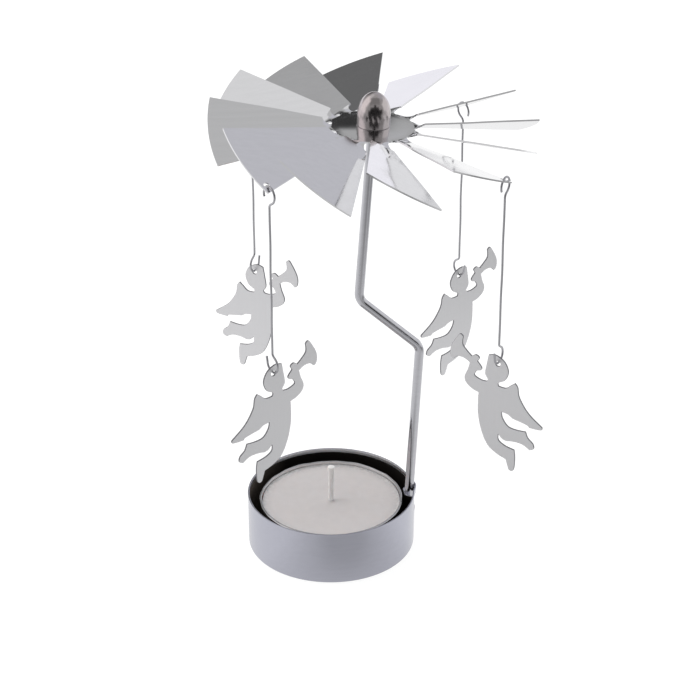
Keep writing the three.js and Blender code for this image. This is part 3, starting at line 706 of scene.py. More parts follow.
def rounded_corner(before, corner, after, radius, count):
    """An arc that touches both legs of a corner: it starts before the corner by the radius times the tangent
    of half the bend, and turns by the bend."""
    into = (corner - before) / np.linalg.norm(corner - before)
    out = (after - corner) / np.linalg.norm(after - corner)
    turn = np.arccos(np.clip(into @ out, -1, 1))
    start = corner - into * radius * np.tan(turn / 2)
    side = out - into * (out @ into)
    side /= np.linalg.norm(side)
    angle = np.linspace(0, turn, count)[:, None]
    return start + side * radius * (1 - np.cos(angle)) + into * radius * np.sin(angle)


def straight(start, end, count):
    """Evenly spaced points between two points, both ends left out."""
    share = np.linspace(0, 1, count + 2)[1:-1, None]
    return start + (end - start) * share


# %% The support rod
ROD_RADIUS = 1.2
ROD_LOWER_LEAN = 2.9
ROD_FOOT_DEPTH = 9.7
ROD_LOWER_BEND = 55.9
ROD_UPPER_BEND = 70.3
ROD_STEP = 15.8
ROD_BEND_RADIUS = 4.0
ROD_POINT_LENGTH = 3.5
ROD_SIDES = 32
REST_GAP = 0.2

pivot, _ = joint_place("rotor_spin")
rod_tip = pivot - [0, 0, REST_GAP]
rim_x = CUP_RADIUS - CUP_WALL + RIM_BULGE - FIT_GAP - ROD_RADIUS
lean = np.tan(np.radians(ROD_LOWER_LEAN))
rod_foot = np.array([rim_x - ROD_FOOT_DEPTH * lean, 0, CUP_HEIGHT - ROD_FOOT_DEPTH])
lower_bend = np.array([rim_x + (ROD_LOWER_BEND - CUP_HEIGHT) * lean, 0, ROD_LOWER_BEND])
upper_bend = np.array([lower_bend[0] - ROD_STEP, 0, ROD_UPPER_BEND])
mast = (rod_tip - upper_bend) / np.linalg.norm(rod_tip - upper_bend)
point_start = rod_tip - mast * ROD_POINT_LENGTH
lower_arc = rounded_corner(rod_foot, lower_bend, upper_bend, ROD_BEND_RADIUS, 15)
upper_arc = rounded_corner(lower_bend, upper_bend, rod_tip, ROD_BEND_RADIUS, 15)
rod_path = np.concatenate([
    [rod_foot],
    straight(rod_foot, lower_arc[0], 60),
    lower_arc,
    straight(lower_arc[-1], upper_arc[0], 10),
    upper_arc,
    straight(upper_arc[-1], point_start, 40),
    [point_start],
    straight(point_start, rod_tip, 8),
    [rod_tip],
])
from_tip = np.linalg.norm(rod_path - rod_tip, axis=1)
rod_radii = ROD_RADIUS * np.clip(from_tip / ROD_POINT_LENGTH, 0, 1)
rod_points = tube(rod_path, np.array([0, 1.0, 0]), rod_radii, ROD_SIDES)
rod_flat = STRAP_INSIDE + CUP_WALL + FIT_GAP / 2
in_strap = rod_points[..., 2] < strap_top + REST_GAP
rod_points[..., 0] = np.where(in_strap, np.maximum(rod_points[..., 0], rod_flat), rod_points[..., 0])
foot_end = np.broadcast_to(rod_points[0].mean(axis=0), (1, ROD_SIDES, 3))
rod_points = np.concatenate([foot_end, rod_points])
rod = add_surface("bent_rod", rod_points, grid_faces(*rod_points.shape[:2], wrap_columns=True))
finish_piece(rod, "base", "support_rod", [rod_steel])

# %% [markdown]
# ## The rotor
# The rotor is one stamping: a hub disc slit into twelve blades, each twisted at its neck between two
# round relief cuts. In polar coordinates one blade is a rectangle of radius and angle. Its outline only
# narrows the angle beside the relief cuts, and its twist is a turn about the blade's own radius that
# grows through the neck. Four blades have a hole for a wire: there a block of cells is left out and a
# ring of cells joins the block's edge to the hole. Bending by hand leaves each blade a little wavy and
# the hub slightly swollen. Both are under half a millimetre, but a mirror shows them at once. An Array
# modifier would make twelve blades alike. Here each has its own twist and droop, so a loop makes them.

# %% One flat blade with its share of the hub
ROTOR_RADIUS = 40.0
HUB_RADIUS = 10.0
HUB_HOLE = 3.65
BLADE_COUNT = 12
BLADE_SLIT = 0.6
BLADE_ROOT = 12.5
SHEET = 0.4
HOLE_RADIUS = 0.75
HOLE_FROM_TIP = 1.4
HOLE_FROM_EDGE = 1.9
HOLE_BLOCK = 1.15
BLOCK_CELLS = 8
HUB_ROWS = [5.2, 6.8, 8.4]
BLADE_ROWS = np.linspace(13.5, 36.5, 15)

sector_half = np.pi / BLADE_COUNT
blade_half = sector_half - np.radians(BLADE_SLIT) / 2
hole_radius_place = ROTOR_RADIUS - HOLE_FROM_TIP
hole_angle = blade_half - np.arcsin(HOLE_FROM_EDGE / hole_radius_place)
block_half_angle = HOLE_BLOCK / hole_radius_place


def half_angle(radius):
    """Half the angle of the strip at a radius: the whole twelfth in the hub, less the relief cut's chord in
    the neck, and the blade's own half angle outside."""
    relief = (BLADE_ROOT - HUB_RADIUS) / 2
    from_middle = radius - (BLADE_ROOT + HUB_RADIUS) / 2
    chord = np.sqrt(np.clip(relief**2 - from_middle**2, 0, None))
    return np.where(radius < BLADE_ROOT - 1e-6, sector_half - chord / radius, blade_half)


def flat_blade(with_hole):
    """Flat points [x, y] of one blade and its faces, from a polar grid of radius rows and angle columns."""
    relief = HUB_RADIUS + (BLADE_ROOT - HUB_RADIUS) * (1 - np.cos(np.linspace(0, np.pi, 17))) / 2
    block = np.linspace(hole_radius_place - HOLE_BLOCK, hole_radius_place + HOLE_BLOCK, BLOCK_CELLS + 1)
    rows = np.concatenate([[HUB_HOLE], HUB_ROWS, relief, BLADE_ROWS, block, [ROTOR_RADIUS]])
    block_start, block_end = hole_angle - block_half_angle, hole_angle + block_half_angle
    shares = np.concatenate([
        np.linspace(-1, block_start / blade_half, 14)[:-1],
        np.linspace(block_start, block_end, BLOCK_CELLS + 1) / blade_half,
        [1],
    ])
    angle = half_angle(rows)[:, None] * shares[None, :]
    flat = np.stack([rows[:, None] * np.cos(angle), rows[:, None] * np.sin(angle)], axis=-1)
    faces = grid_faces(len(rows), len(shares))
    if not with_hole:
        return flat.reshape(-1, 2), faces
    first_row, first_column = len(rows) - BLOCK_CELLS - 2, len(shares) - BLOCK_CELLS - 2
    side = np.arange(BLOCK_CELLS)
    start, end, back = side * 0, side * 0 + BLOCK_CELLS, BLOCK_CELLS - side
    loop_row = first_row + np.concatenate([start, side, end, back])
    loop_column = first_column + np.concatenate([side, end, back, start])
    loop = loop_row * len(shares) + loop_column
    row, column = faces[:, 0] // len(shares) - first_row, faces[:, 0] % len(shares) - first_column
    inside = (row >= 0) & (row < BLOCK_CELLS) & (column >= 0) & (column < BLOCK_CELLS)
    centre = hole_radius_place * np.array([np.cos(hole_angle), np.sin(hole_angle)])
    edge = flat.reshape(-1, 2)[loop]
    spoke = edge - centre
    rim = centre + HOLE_RADIUS * spoke / np.linalg.norm(spoke, axis=1, keepdims=True)
    rings = edge[None] + (rim - edge)[None] * np.array([1 / 3, 2 / 3, 1])[:, None, None]
    count = flat.shape[0] * flat.shape[1]
    ring_corner = np.concatenate([loop[None], count + np.arange(3 * len(loop)).reshape(3, -1)])
    ring_faces = ring_corner.reshape(-1)[grid_faces(4, len(loop), wrap_columns=True)]
    points = np.concatenate([flat.reshape(-1, 2), rings.reshape(-1, 2)])
    return points, np.concatenate([faces[~inside], ring_faces])


# %% Twisting and placing the blades
BLADE_PHASE = 31.8
BLADE_TWISTS = [29.2, 23.4, 22, 21.5, 27.7, 30.6, 29, 30.9, 28.6, 21.3, 23.2, 28.7]
BLADE_DROOPS = [2, -0.6, -1.2, -0.5, -0.4, 0.4, -0.7, 1.6, -0.2, -1.7, -1.5, 1]
CAP_INSIDE_TOP = 8.3
ROTOR_LEAN = 2.8
ROTOR_LEAN_TOWARD = -33.6
BLADE_WAVE = 0.15
WAVY_TO = 37.0
HUB_SWELL = 0.44
SHEET_EDGE_BREAK = 0.07


def turn_about(axis, degrees):
    """Rotation matrix: one, plus sine times K, plus (1 - cosine) times K squared, where K is the matrix that
    takes the cross product with the axis."""
    x, y, z = np.asarray(axis, float) / np.linalg.norm(axis)
    k = np.array([[0, -z, y], [z, 0, -x], [-y, x, 0]])
    angle = np.radians(degrees)
    return np.eye(3) + np.sin(angle) * k + (1 - np.cos(angle)) * k @ k


toward = np.radians(ROTOR_LEAN_TOWARD)
rotor_turn = turn_about([-np.sin(toward), np.cos(toward), 0], ROTOR_LEAN)


def to_frame(points):
    """From the rotor's own frame, with its sheet at height 0, to the object's frame."""
    return (points - [0, 0, CAP_INSIDE_TOP]) @ rotor_turn.T + pivot


def twisted_blade(blade):
    """One blade in the rotor's frame: a slight wave, its own on each blade, and the hub's swelling, then a
    turn about its radius and a bend down about the hub's edge, which both grow through the neck, and last a
    turn about the hub to its own heading."""
    flat, faces = flat_blade(with_hole=blade % 3 == 0)
    x, y = flat.T
    radius = np.hypot(x, y)
    belly = np.sin(np.pi * np.clip((radius - BLADE_ROOT) / (WAVY_TO - BLADE_ROOT), 0, 1)) ** 2
    bow = BLADE_WAVE * belly * np.sin(1.7 * blade + 0.11 * radius) * np.cos(0.22 * y + 0.9 * blade)
    bow = bow + HUB_SWELL * np.clip(1 - (radius / HUB_RADIUS) ** 2, 0, None)
    share = smooth_step(radius, HUB_RADIUS, BLADE_ROOT)
    twist = -np.radians(BLADE_TWISTS[blade]) * share
    across = y * np.cos(twist) - bow * np.sin(twist)
    up = y * np.sin(twist) + bow * np.cos(twist)
    bend = np.radians(BLADE_DROOPS[blade]) * share
    reach = (x - HUB_RADIUS) * np.cos(bend) + up * np.sin(bend)
    rise = up * np.cos(bend) - (x - HUB_RADIUS) * np.sin(bend)
    bent = np.stack([HUB_RADIUS + reach, across, rise], axis=-1)
    return bent @ turn_about([0, 0, 1], BLADE_PHASE + blade * 360 / BLADE_COUNT).T, faces


blade_points, blade_faces, count = [], [], 0
for blade in range(BLADE_COUNT):
    points, faces = twisted_blade(blade)
    blade_points.append(to_frame(points))
    blade_faces.append(faces + count)
    count += len(points)
rotor = add_surface("rotor_blades", np.concatenate(blade_points), np.concatenate(blade_faces))
thicken(rotor, SHEET, SHEET_EDGE_BREAK)
finish_piece(rotor, "rotor", "rotor_sheet", [rotor_steel], crease=20)

# %% [markdown]
# ## The pivot cap
# A domed thimble sits in the hub's hole. Its inside top rests on the rod's point, and its neck is rolled
# over under the sheet so that it grips the hub. Half a sphere would be too round and would have no wall,
# so it is one more turned profile, inside and outside in one line, leaned with the rotor.

# %% The pivot cap
CAP_RADIUS = 4.1
CAP_WALL = 0.4
CAP_STRAIGHT = 3.0
CAP_HEIGHT = 8.9
CAP_NECK = 3.5
CAP_LIP = 0.8
LIP_BREAK = 0.1
SKIRT_CORNER = 0.15
SKIRT_GAP = 0.02
CAP_COLUMNS = 96

lip_top = -SHEET / 2 - FIT_GAP
lip_foot = lip_top - CAP_WALL
skirt = SHEET / 2 + HUB_SWELL * (1 - (CAP_RADIUS / HUB_RADIUS) ** 2) + SKIRT_GAP

cap_profile = np.concatenate([
    [[CAP_NECK - CAP_WALL, lip_foot]],
    [[CAP_NECK + CAP_LIP - LIP_BREAK, lip_foot], [CAP_NECK + CAP_LIP, lip_foot + LIP_BREAK]],
    [[CAP_NECK + CAP_LIP, lip_top], [CAP_NECK, lip_top], [CAP_NECK, skirt]],
    arc((CAP_RADIUS - SKIRT_CORNER, skirt + SKIRT_CORNER), (SKIRT_CORNER, SKIRT_CORNER), -90, 0, 4),
    arc((0, CAP_STRAIGHT), (CAP_RADIUS, CAP_HEIGHT - CAP_STRAIGHT), 0, 90, 33),
    arc((0, CAP_STRAIGHT), (CAP_RADIUS - CAP_WALL, CAP_INSIDE_TOP - CAP_STRAIGHT), 90, 0, 17),
    [[CAP_RADIUS - CAP_WALL, skirt + CAP_WALL], [CAP_NECK - CAP_WALL, skirt + CAP_WALL]],
    [[CAP_NECK - CAP_WALL, lip_foot]],
])
cap_points = to_frame(turned(cap_profile, CAP_COLUMNS))
cap = add_surface("pivot_dome", cap_points, grid_faces(CAP_COLUMNS, len(cap_profile), wrap_rows=True))
finish_piece(cap, "rotor", "pivot_cap", [cap_steel])

# %% [markdown]
# ## The hanging wires
# Each wire is bent in one plane: a ring that passes through a blade's hole, a straight stem and an open
# hook. Its joint's point is the ring's centre and its joint's axis the plane's normal, so the path is
# drawn across and up in that plane and carried into the frame. The angel's joint gives the hook's point.
# The sweep that made the rod makes the wires too.

# %% The hanging wires
WIRE_RADIUS = 0.28
RING_RADIUS = 2.1
RING_START = 62
RING_TAIL = 205
TAIL_LENGTH = 1.3
TAIL_FLARE = 12
KINK_LENGTH = 0.6
STEM_WANDER = 0.1
STEM_WAVES = 2.3
WIRE_SIDES = 12
PLACES = ("back_right", "back_left", "front_left", "front_right")
UP = np.array([0, 0, 1.0])


def hanger_path(length, number):
    """The wire's line [across, up] from its ring's centre: a ring arc, a kink that eases into the stem along
    a quadratic curve, a stem that wanders as a sine, shifted for each wire, and a hook that mirrors the ring
    and ends in a straight tail."""
    corner = RING_RADIUS / np.sin(np.radians(RING_START))
    start = RING_RADIUS * np.array([np.cos(np.radians(RING_START)), -np.sin(np.radians(RING_START))])
    t = np.linspace(0, 1, 8)[1:, None]
    kink = start * (1 - t) ** 2 + np.array([0, -corner]) * 2 * t * (1 - t)
    kink = kink + np.array([0, -corner - KINK_LENGTH]) * t**2
    ring = arc((0, 0), (RING_RADIUS, RING_RADIUS), RING_TAIL, -RING_START, 40)
    hook = arc((0, -length), (RING_RADIUS, RING_RADIUS), RING_START, -180, 37)
    flare = np.radians(TAIL_FLARE)
    tail = hook[-1] + np.linspace(0, TAIL_LENGTH, 7)[1:, None] * np.array([-np.sin(flare), np.cos(flare)])
    lower_kink = kink[::-1] * [1, -1] - [0, length]
    drop = np.linspace(kink[-1, 1], lower_kink[0, 1], 62)[1:-1]
    along = np.linspace(0, 1, 60)
    waves = np.sin(2 * np.pi * (STEM_WAVES * along + 0.37 * number))
    wander = STEM_WANDER * np.sin(np.pi * along) * waves
    stem = np.stack([wander, drop], axis=-1)
    return np.concatenate([ring, kink, stem, lower_kink, hook[1:], tail])


hooks = {}
for number, place in enumerate(PLACES):
    centre, axis = joint_place(f"hanger_{place}_swing")
    hook_point, across = joint_place(f"angel_{place}_swing")
    line = hanger_path(centre[2] - hook_point[2] - RING_RADIUS, number)
    path = centre + line[:, :1] * across + line[:, 1:] * UP
    ends = np.broadcast_to(path[[0, -1], None], (2, WIRE_SIDES, 3))
    points = np.concatenate([ends[:1], tube(path, axis, WIRE_RADIUS, WIRE_SIDES), ends[1:]])
    wire = add_surface(f"wire_{place}", points, grid_faces(*points.shape[:2], wrap_columns=True))
    finish_piece(wire, f"hanger_{place}", f"hanger_{place}", [wire_steel])
    hooks[place] = (hook_point, axis)

# %% [markdown]
# ## The angels
# The angels are stamped plates. Their outline is a chain of stretches between sharp corners, and each
# stretch is a smooth curve through a few points, measured from the hole in the head. A filled curve could
# be extruded into such a plate, but its bevel would round the sharp corners. So an edge profile with
# broken corners is carried along the outline, and two flat faces fill the space inside it.

# %% The angels' outline
ANGEL_THICKNESS = 0.4
ANGEL_HOLE_RADIUS = 0.7
HOLE_SIDES = 40
EDGE_BREAK = 0.07
EDGE_ROWS = 6

ANGEL_OUTLINE = [
    # crown, back of the head and nape
    [[2.6, 1.8], [0.7, 2.2], [-1.7, 1], [-2.9, -1.5], [-2.1, -4], [-0.3, -5.2], [-0.4, -6.1]],
    # wing from shoulder to tip
    [[-0.4, -6.1], [-2.3, -6.1], [-3.7, -5], [-4.8, -4.1]],
    [[-4.8, -4.1], [-5.6, -5.2], [-6.2, -7.9], [-8.7, -11.4], [-12.6, -14.3]],
    # trailing edge of the wing with its two feathers
    [[-12.6, -14.3], [-12.2, -15.1], [-9.1, -15.3]],
    [[-9.1, -15.3], [-8.3, -14.7], [-4.5, -14]],
    [[-4.5, -14], [-3.1, -13.2], [-1.4, -13]],
    # raised leg: hip, knee, foot and calf
    [[-1.4, -13], [-1.8, -14.7], [-3.3, -16.5], [-5.5, -16.9], [-8.2, -16.7]],
    [[-8.2, -16.7], [-8.9, -18.3], [-10.3, -19.5], [-10.6, -20.8], [-9.5, -21.5]],
    [[-9.5, -21.5], [-7.5, -20.5], [-5.1, -20.4], [-3.1, -20.8]],
    [[-3.1, -20.8], [-1.9, -20.5], [-0.8, -19.4]],
    # trailing leg: thigh, knee, foot and shin
    [[-0.8, -19.4], [-0.9, -21.1], [-2.7, -22.2], [-5.3, -22.7]],
    [[-5.3, -22.7], [-5.6, -24.9], [-5.5, -27.8], [-5, -28.8], [-4.1, -28.7], [-3.6, -27.5], [-3.1, -26]],
    # belly from shin to armpit
    [[-3.1, -26], [-0.5, -25.1], [2.1, -23.3], [4, -19.5], [5, -15.1], [5.1, -11.1], [5, -9.3]],
    # raised arm: elbow and forearm
    [[5, -9.3], [6.9, -8.7], [8.6, -7.4], [9, -5.8], [8.2, -3.7], [7.7, -1.7]],
    # trumpet: underside, bell and upper side
    [[7.7, -1.7], [9.1, -0.9], [10.9, -0.8], [12.2, -1.8]],
    [[12.2, -1.8], [12.9, -1.3], [13.2, 0.3], [12.7, 2.3], [11.1, 5], [10.4, 5.5], [9.7, 5]],
    [[9.7, 5], [9.8, 2.8], [8.5, 1.3], [7.2, 0.2]],
    # hand and mouthpiece
    [[7.2, 0.2], [6.1, 0.9], [5.1, 0.3], [5.6, -0.8]],
    [[5.6, -0.8], [4.4, -2.2], [4.6, -3], [5.7, -3.4]],
    # inside of the arm, chin and face
    [[5.7, -3.4], [6.3, -4.8], [4.5, -5.6], [3, -5.6]],
    [[3, -5.6], [2.6, -5], [3.4, -3.5], [3, -0.5], [2.6, 1.8]],
]


def smooth_stretch(points, per_span=7):
    """A smooth curve through the points: each span is a cubic, and its slope at a point is half the step from
    the point before to the point after."""
    p = np.asarray(points, float)
    padded = np.concatenate([p[:1], p, p[-1:]])
    t = np.linspace(0, 1, per_span, endpoint=False)[None, :, None]
    before, start, end, after = (padded[i : len(p) - 1 + i, None, :] for i in range(4))
    slope_in, slope_out = (end - before) / 2, (after - start) / 2
    cubic = (2 * start - 2 * end + slope_in + slope_out) * t**3
    cubic = cubic + (3 * end - 3 * start - 2 * slope_in - slope_out) * t**2
    return (cubic + slope_in * t + start).reshape(-1, 2)


def edge_rows(loop, inward):
    """Rows of the broken edge [forward, up, aside]: the loop itself between the faces, drawn in on them by
    the break, and by a third of it half way."""
    ahead = np.roll(loop, -1, axis=0) - np.roll(loop, 1, axis=0)
    ahead /= np.linalg.norm(ahead, axis=1, keepdims=True)
    aside = np.stack([-ahead[:, 1], ahead[:, 0]], axis=-1) * inward
    half = ANGEL_THICKNESS / 2
    shift = np.array([EDGE_BREAK, EDGE_BREAK / 3, 0, 0, EDGE_BREAK / 3, EDGE_BREAK])
    level = np.array([half, half - EDGE_BREAK / 3, half - EDGE_BREAK])
    level = np.concatenate([level, -level[::-1]])
    flat = loop[None] + shift[:, None, None] * aside[None]
    return np.concatenate([flat, np.broadcast_to(level[:, None, None], (EDGE_ROWS, len(loop), 1))], axis=-1)


def angel_plate():
    """Points [forward, up, aside] and faces of the plate: both edges' rows and the two filled faces."""
    outline = np.concatenate([smooth_stretch(stretch) for stretch in ANGEL_OUTLINE])
    area = np.sum(outline[:, 0] * np.roll(outline[:, 1], -1) - outline[:, 1] * np.roll(outline[:, 0], -1))
    outer = edge_rows(outline, np.sign(area))
    hole_loop = arc((0, 0), (ANGEL_HOLE_RADIUS, ANGEL_HOLE_RADIUS), 0, 360, HOLE_SIDES + 1)[:-1]
    hole = edge_rows(hole_loop, -1)
    outer_count, hole_count = len(outline), len(hole_loop)
    hole_first = EDGE_ROWS * outer_count
    faces = grid_faces(EDGE_ROWS, outer_count, wrap_columns=True).tolist()
    faces += (grid_faces(EDGE_ROWS, hole_count, wrap_columns=True) + hole_first).tolist()
    for row in (0, EDGE_ROWS - 1):
        loops = [np.pad(outer[row, :, :2], ((0, 0), (0, 1))), np.pad(hole[row, :, :2], ((0, 0), (0, 1)))]
        numbers = np.concatenate([
            row * outer_count + np.arange(outer_count),
            hole_first + row * hole_count + np.arange(hole_count),
        ])
        fill = geometry.tessellate_polygon([loop.tolist() for loop in loops])
        faces += numbers[np.array(fill)].tolist()
    return np.concatenate([outer.reshape(-1, 3), hole.reshape(-1, 3)]), faces


# %% Hanging the angels on their hooks
OUTWARD_LOOKING = "back_right"
# A face whose normal has a smaller cosine than this with the plate's own belongs to the cut edge.
PLATE_COSINE = 0.95

plate, plate_faces = angel_plate()
for place, (hook_point, ring_axis) in hooks.items():
    hole_centre = hook_point - [0, 0, ANGEL_HOLE_RADIUS - WIRE_RADIUS - FIT_GAP]
    forward = ring_axis if place == OUTWARD_LOOKING else -ring_axis
    aside = np.cross(forward, UP)
    placed = hole_centre + plate[:, :1] * forward + plate[:, 1:2] * UP + plate[:, 2:] * aside
    angel = add_surface(f"angel_plate_{place}", placed, plate_faces)
    normals = np.empty(3 * len(angel.data.polygons), np.float32)
    angel.data.polygons.foreach_get("normal", normals)
    cut = np.abs(normals.reshape(-1, 3) @ aside) < PLATE_COSINE
    angel.data.materials.append(angel_steel)
    angel.data.materials.append(angel_edge)
    angel.data.polygons.foreach_set("material_index", cut.astype(np.int32))
    finish_piece(
        angel, f"angel_{place}", f"angel_{place}", [angel_steel, angel_edge], crease=20
    )

# %% [markdown]
# ## Camera
# The camera stands a little left of the front and looks down at the holder through a long lens, which
# keeps the rotor's far blades nearly as large as the near ones. A shorter lens from close by would give
# the same frame, but would swell the near angels.

# %% Camera
CAMERA_PLACE = (-56.68, -439.15, 286.73)
CAMERA_DOWN = 27.48
CAMERA_ASIDE = -8.0
CAMERA_LENS = 100.74
CAMERA_SENSOR = 36

scene = bpy.context.scene
camera_data = bpy.data.cameras.new("camera")
camera_data.lens = CAMERA_LENS
camera_data.sensor_width = CAMERA_SENSOR
camera = bpy.data.objects.new("camera", camera_data)
camera.location = [c * MM for c in CAMERA_PLACE]
camera.rotation_euler = (math.radians(90 - CAMERA_DOWN), 0, math.radians(CAMERA_ASIDE))
scene.collection.objects.link(camera)
scene.camera = camera
print("camera:", CAMERA_LENS, "mm lens, looking down by", CAMERA_DOWN, "degrees")

# %% [markdown]
# ## Floor and light
# Polished metal shows its surroundings, so the studio is drawn as carefully as the object. A
# photographer does it with cards: white ones that make bright planes, dark ones that give edges. A
# picture of a studio could light the scene as well, but cards drawn with nodes need no file. The floor is
# a wide sheet of white paper. It is drawn grey with a glow of its own, which makes it just white: on a
# brighter floor the light would spill over thin wires and narrow them. What the steel mirrors of the
# paper is a second disc that only mirror rays see: bright towards the back, where the paper is lit most,
# and dim in front, near the camera.

# %% Floor
FLOOR_RADIUS = 3000.0
FLOOR_SIDES = 96


def disc(name, radius, height):
    """A flat round sheet: one face whose corners are the radius times cosine and sine."""
    angle = np.linspace(0, 2 * np.pi, FLOOR_SIDES, endpoint=False)
    rim = np.stack([radius * np.cos(angle), radius * np.sin(angle), np.full(FLOOR_SIDES, height)], axis=-1)
    return add_surface(name, rim, [range(FLOOR_SIDES)], outwards=False)


floor = disc("floor", FLOOR_RADIUS, 0)
floor.visible_glossy = False
floor_paper, tree, output, _ = new_material("white_paper")
paper = add_node(
    tree, "BsdfPrincipled", Base_Color=linear("#7A7A7A"), Roughness=0.9,
    Emission_Color=linear("#FFFFFF"), Emission_Strength=0.87,
)
tree.links.new(paper.outputs["BSDF"], output.inputs["Surface"])
floor.data.materials.append(floor_paper)

# %% The floor as the steel mirrors it
MIRROR_LIFT = 0.02
FRONT_EDGE, FRONT_LIGHT = -250, 0.55
MIDDLE_LIGHT = 0.9
BACK_EDGE, BACK_GAIN = 160, 0.16
# For each patch its middle, how far from there it is whole and where it ends, and its share of the light.
FLOOR_PATCHES = [
    # the holder's own shade and the camera's, in front
    ((5, -45), 12, 45, 0.62),
    ((40, -230), 40, 150, 0.65),
    # bright spots behind the holder, and dimmer paper beyond them
    ((-8, 75), 15, 45, 1.14),
    ((55, 126), 15, 40, 1.15),
    ((80, 210), 70, 140, 0.9),
    # far out on the right, and the dark room in front of the paper
    ((330, -60), 120, 220, 0.45),
    ((0, -2600), 1800, 2200, 0.1),
]

mirrored_floor = disc("mirrored_floor", FLOOR_RADIUS, MIRROR_LIFT)
mirrored_floor.visible_camera = False
mirrored_floor.visible_diffuse = False
mirrored_floor.visible_shadow = False
mirrored_paper, tree, output, place = new_material("mirrored_paper")
part = add_node(tree, "SeparateXYZ", Vector=place)
front = add_node(
    tree, "MapRange", Value=part.outputs["Y"], From_Min=FRONT_EDGE * MM, From_Max=0.0,
    To_Min=FRONT_LIGHT, To_Max=MIDDLE_LIGHT,
)
back = add_node(
    tree, "MapRange", Value=part.outputs["Y"], From_Min=0.0, From_Max=BACK_EDGE * MM, To_Max=BACK_GAIN
)
light = add_node(
    tree, "Math", {"operation": "ADD"}, _0=front.outputs["Result"], _1=back.outputs["Result"]
).outputs["Value"]
for (x, y), whole, end, share in FLOOR_PATCHES:
    away = add_node(tree, "VectorMath", {"operation": "DISTANCE"}, _0=place, _1=(x * MM, y * MM, 0.0))
    patch = add_node(
        tree, "MapRange", Value=away.outputs["Value"],
        From_Min=whole * MM, From_Max=end * MM, To_Min=share, To_Max=1.0,
    )
    product = add_node(tree, "Math", {"operation": "MULTIPLY"}, _0=light, _1=patch.outputs["Result"])
    light = product.outputs["Value"]
glow = add_node(tree, "Emission", Color=linear("#FFFFFF"), Strength=light)
tree.links.new(glow.outputs["Emission"], output.inputs["Surface"])
mirrored_floor.data.materials.append(mirrored_paper)
print("floor and mirrored floor made, with", len(FLOOR_PATCHES), "patches of light")

# %% Studio cards
SKY_LIGHT = 0.456
# For each card its middle's azimuth and elevation, half its width and height and its soft border, all in
# degrees, its colour and its strength. Azimuth 0 is straight behind the holder and 90 on its right. A
# later card covers an earlier one.
STUDIO_CARDS = [
    # pale back wall on the right, the ceiling, and a white panel in it
    (50, 42, 24, 26, 10, "#F8F8FF", 0.64),
    (0, 90, 22, 22, 8, "#FFFFFF", 0.57),
    (-40, 68, 14, 9, 6, "#FFFFFF", 0.82),
    # dark cards behind the holder, for the dark marks on the blades and the cap
    (-12, 24, 9, 14, 6, "#FFFFFF", 0.16),
    (4, 17, 6.5, 8, 3, "#FFFFFF", 0.04),
    (17, 12, 9, 3.5, 2.5, "#FFFFFF", 0.04),
    # white paper that rises behind the holder, and the white wall on the right
    (0, 3, 100, 8, 3, "#FAF9FF", 1.05),
    (85, 16, 27, 12, 5, "#FFFFFF", 0.95),
    # the room on the camera's side: dim above, and dark low down, for the dark lines on rod and cap
    (182, 62, 34, 16, 8, "#FFFFFF", 0.3),
    (182, 2, 46, 9, 5, "#FFFFFF", 0.02),
    (184, 12, 29, 12, 6, "#FFFFFF", 0.02),
    (180, 24, 5, 12, 6, "#FFFFFF", 0.03),
    (138, 4, 8, 6, 4, "#FFFFFF", 0.03),
    # the brightest wall, on the left, and a dimmer gap in it that a blade's cut edge mirrors
    (-82, 30, 18, 22, 16, "#FFFAFA", 1.2),
    (-105.5, 18.5, 3, 3, 3, "#FFFFFF", 0.7),
]

world = bpy.data.worlds.new("studio")
scene.world = world
world.use_nodes = True
dome = world.node_tree
dome.nodes.clear()
sky_output = add_node(dome, "OutputWorld")
direction = add_node(dome, "TexCoord").outputs["Generated"]


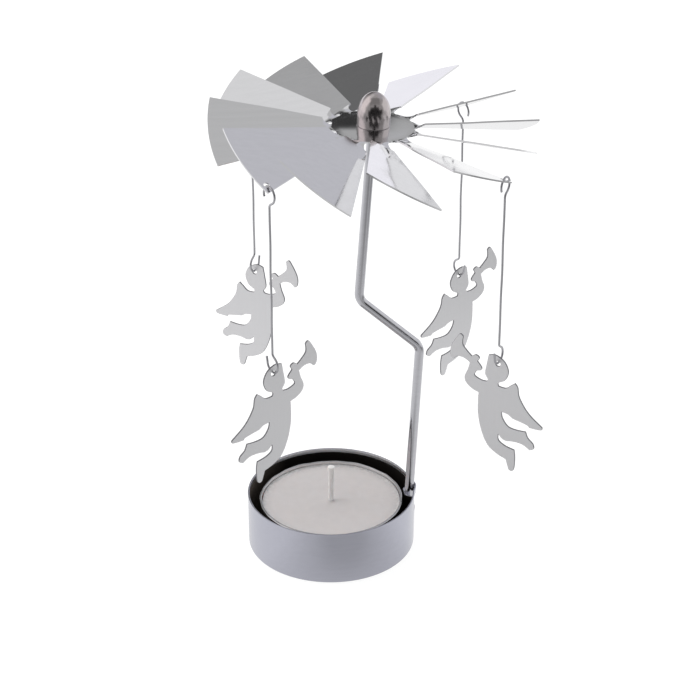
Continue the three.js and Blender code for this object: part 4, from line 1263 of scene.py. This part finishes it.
def studio_card(sky, azimuth, elevation, half_width, half_height, soft, colour, strength):
    """Lays a soft-edged rectangle on the sky so far. The direction is turned until the card's middle is
    straight ahead, and the card is where both the angle aside and the angle above are small."""
    turn = (math.radians(elevation), 0.0, -math.radians(azimuth))
    ahead = add_node(dome, "Mapping", {"vector_type": "TEXTURE"}, Vector=direction, Rotation=turn)
    part = add_node(dome, "SeparateXYZ", Vector=ahead.outputs["Vector"])
    aside = add_node(dome, "Math", {"operation": "ARCTAN2"}, _0=part.outputs["X"], _1=part.outputs["Y"])
    above = add_node(dome, "Math", {"operation": "ARCSINE"}, _0=part.outputs["Z"])
    within = []
    for angle, half in ((aside, half_width), (above, half_height)):
        size = add_node(dome, "Math", {"operation": "ABSOLUTE"}, _0=angle.outputs["Value"])
        edge = add_node(
            dome, "MapRange", {"interpolation_type": "SMOOTHSTEP"}, Value=size.outputs["Value"],
            From_Min=math.radians(half), From_Max=math.radians(half + soft), To_Min=1.0, To_Max=0.0,
        )
        within.append(edge.outputs["Result"])
    patch = add_node(dome, "Math", {"operation": "MULTIPLY"}, _0=within[0], _1=within[1])
    card = add_node(
        dome, "Mix", COLOUR_MIX, Factor=patch.outputs["Value"], A=sky, B=linear(colour, strength)
    )
    return card.outputs["Result"]


sky = linear("#FFFFFF", SKY_LIGHT)
for card in STUDIO_CARDS:
    sky = studio_card(sky, *card)
# The camera itself sees plain white past the floor's edge. The cards show only in the steel, and in the
# light that they give.
seen = add_node(dome, "LightPath").outputs["Is Camera Ray"]
shown = add_node(dome, "Mix", COLOUR_MIX, Factor=seen, A=sky, B=linear("#FFFFFF"))
studio = add_node(dome, "Background", Color=shown.outputs["Result"], Strength=1.0)
dome.links.new(studio.outputs["Background"], sky_output.inputs["Surface"])
print("studio:", len(STUDIO_CARDS), "cards")

# %% Overhead softbox
# A wide round softbox gives the wax and the paper their even light. The steel doesn't mirror it, because
# the cards already stand for what it mirrors.
SOFTBOX_WIDTH = 1300
SOFTBOX_WATTS = 9.0
SOFTBOX_PLACE = (-80, 100, 1000)
SOFTBOX_TILT = (-6, -5, 0)

softbox_data = bpy.data.lights.new("softbox", "AREA")
softbox_data.shape = "DISK"
softbox_data.size = SOFTBOX_WIDTH * MM
softbox_data.energy = SOFTBOX_WATTS
softbox = bpy.data.objects.new("softbox", softbox_data)
softbox.location = [c * MM for c in SOFTBOX_PLACE]
softbox.rotation_euler = [math.radians(angle) for angle in SOFTBOX_TILT]
softbox.visible_camera = False
softbox.visible_glossy = False
scene.collection.objects.link(softbox)
print("softbox:", SOFTBOX_WATTS, "watts")

scene.view_settings.view_transform = "Standard"
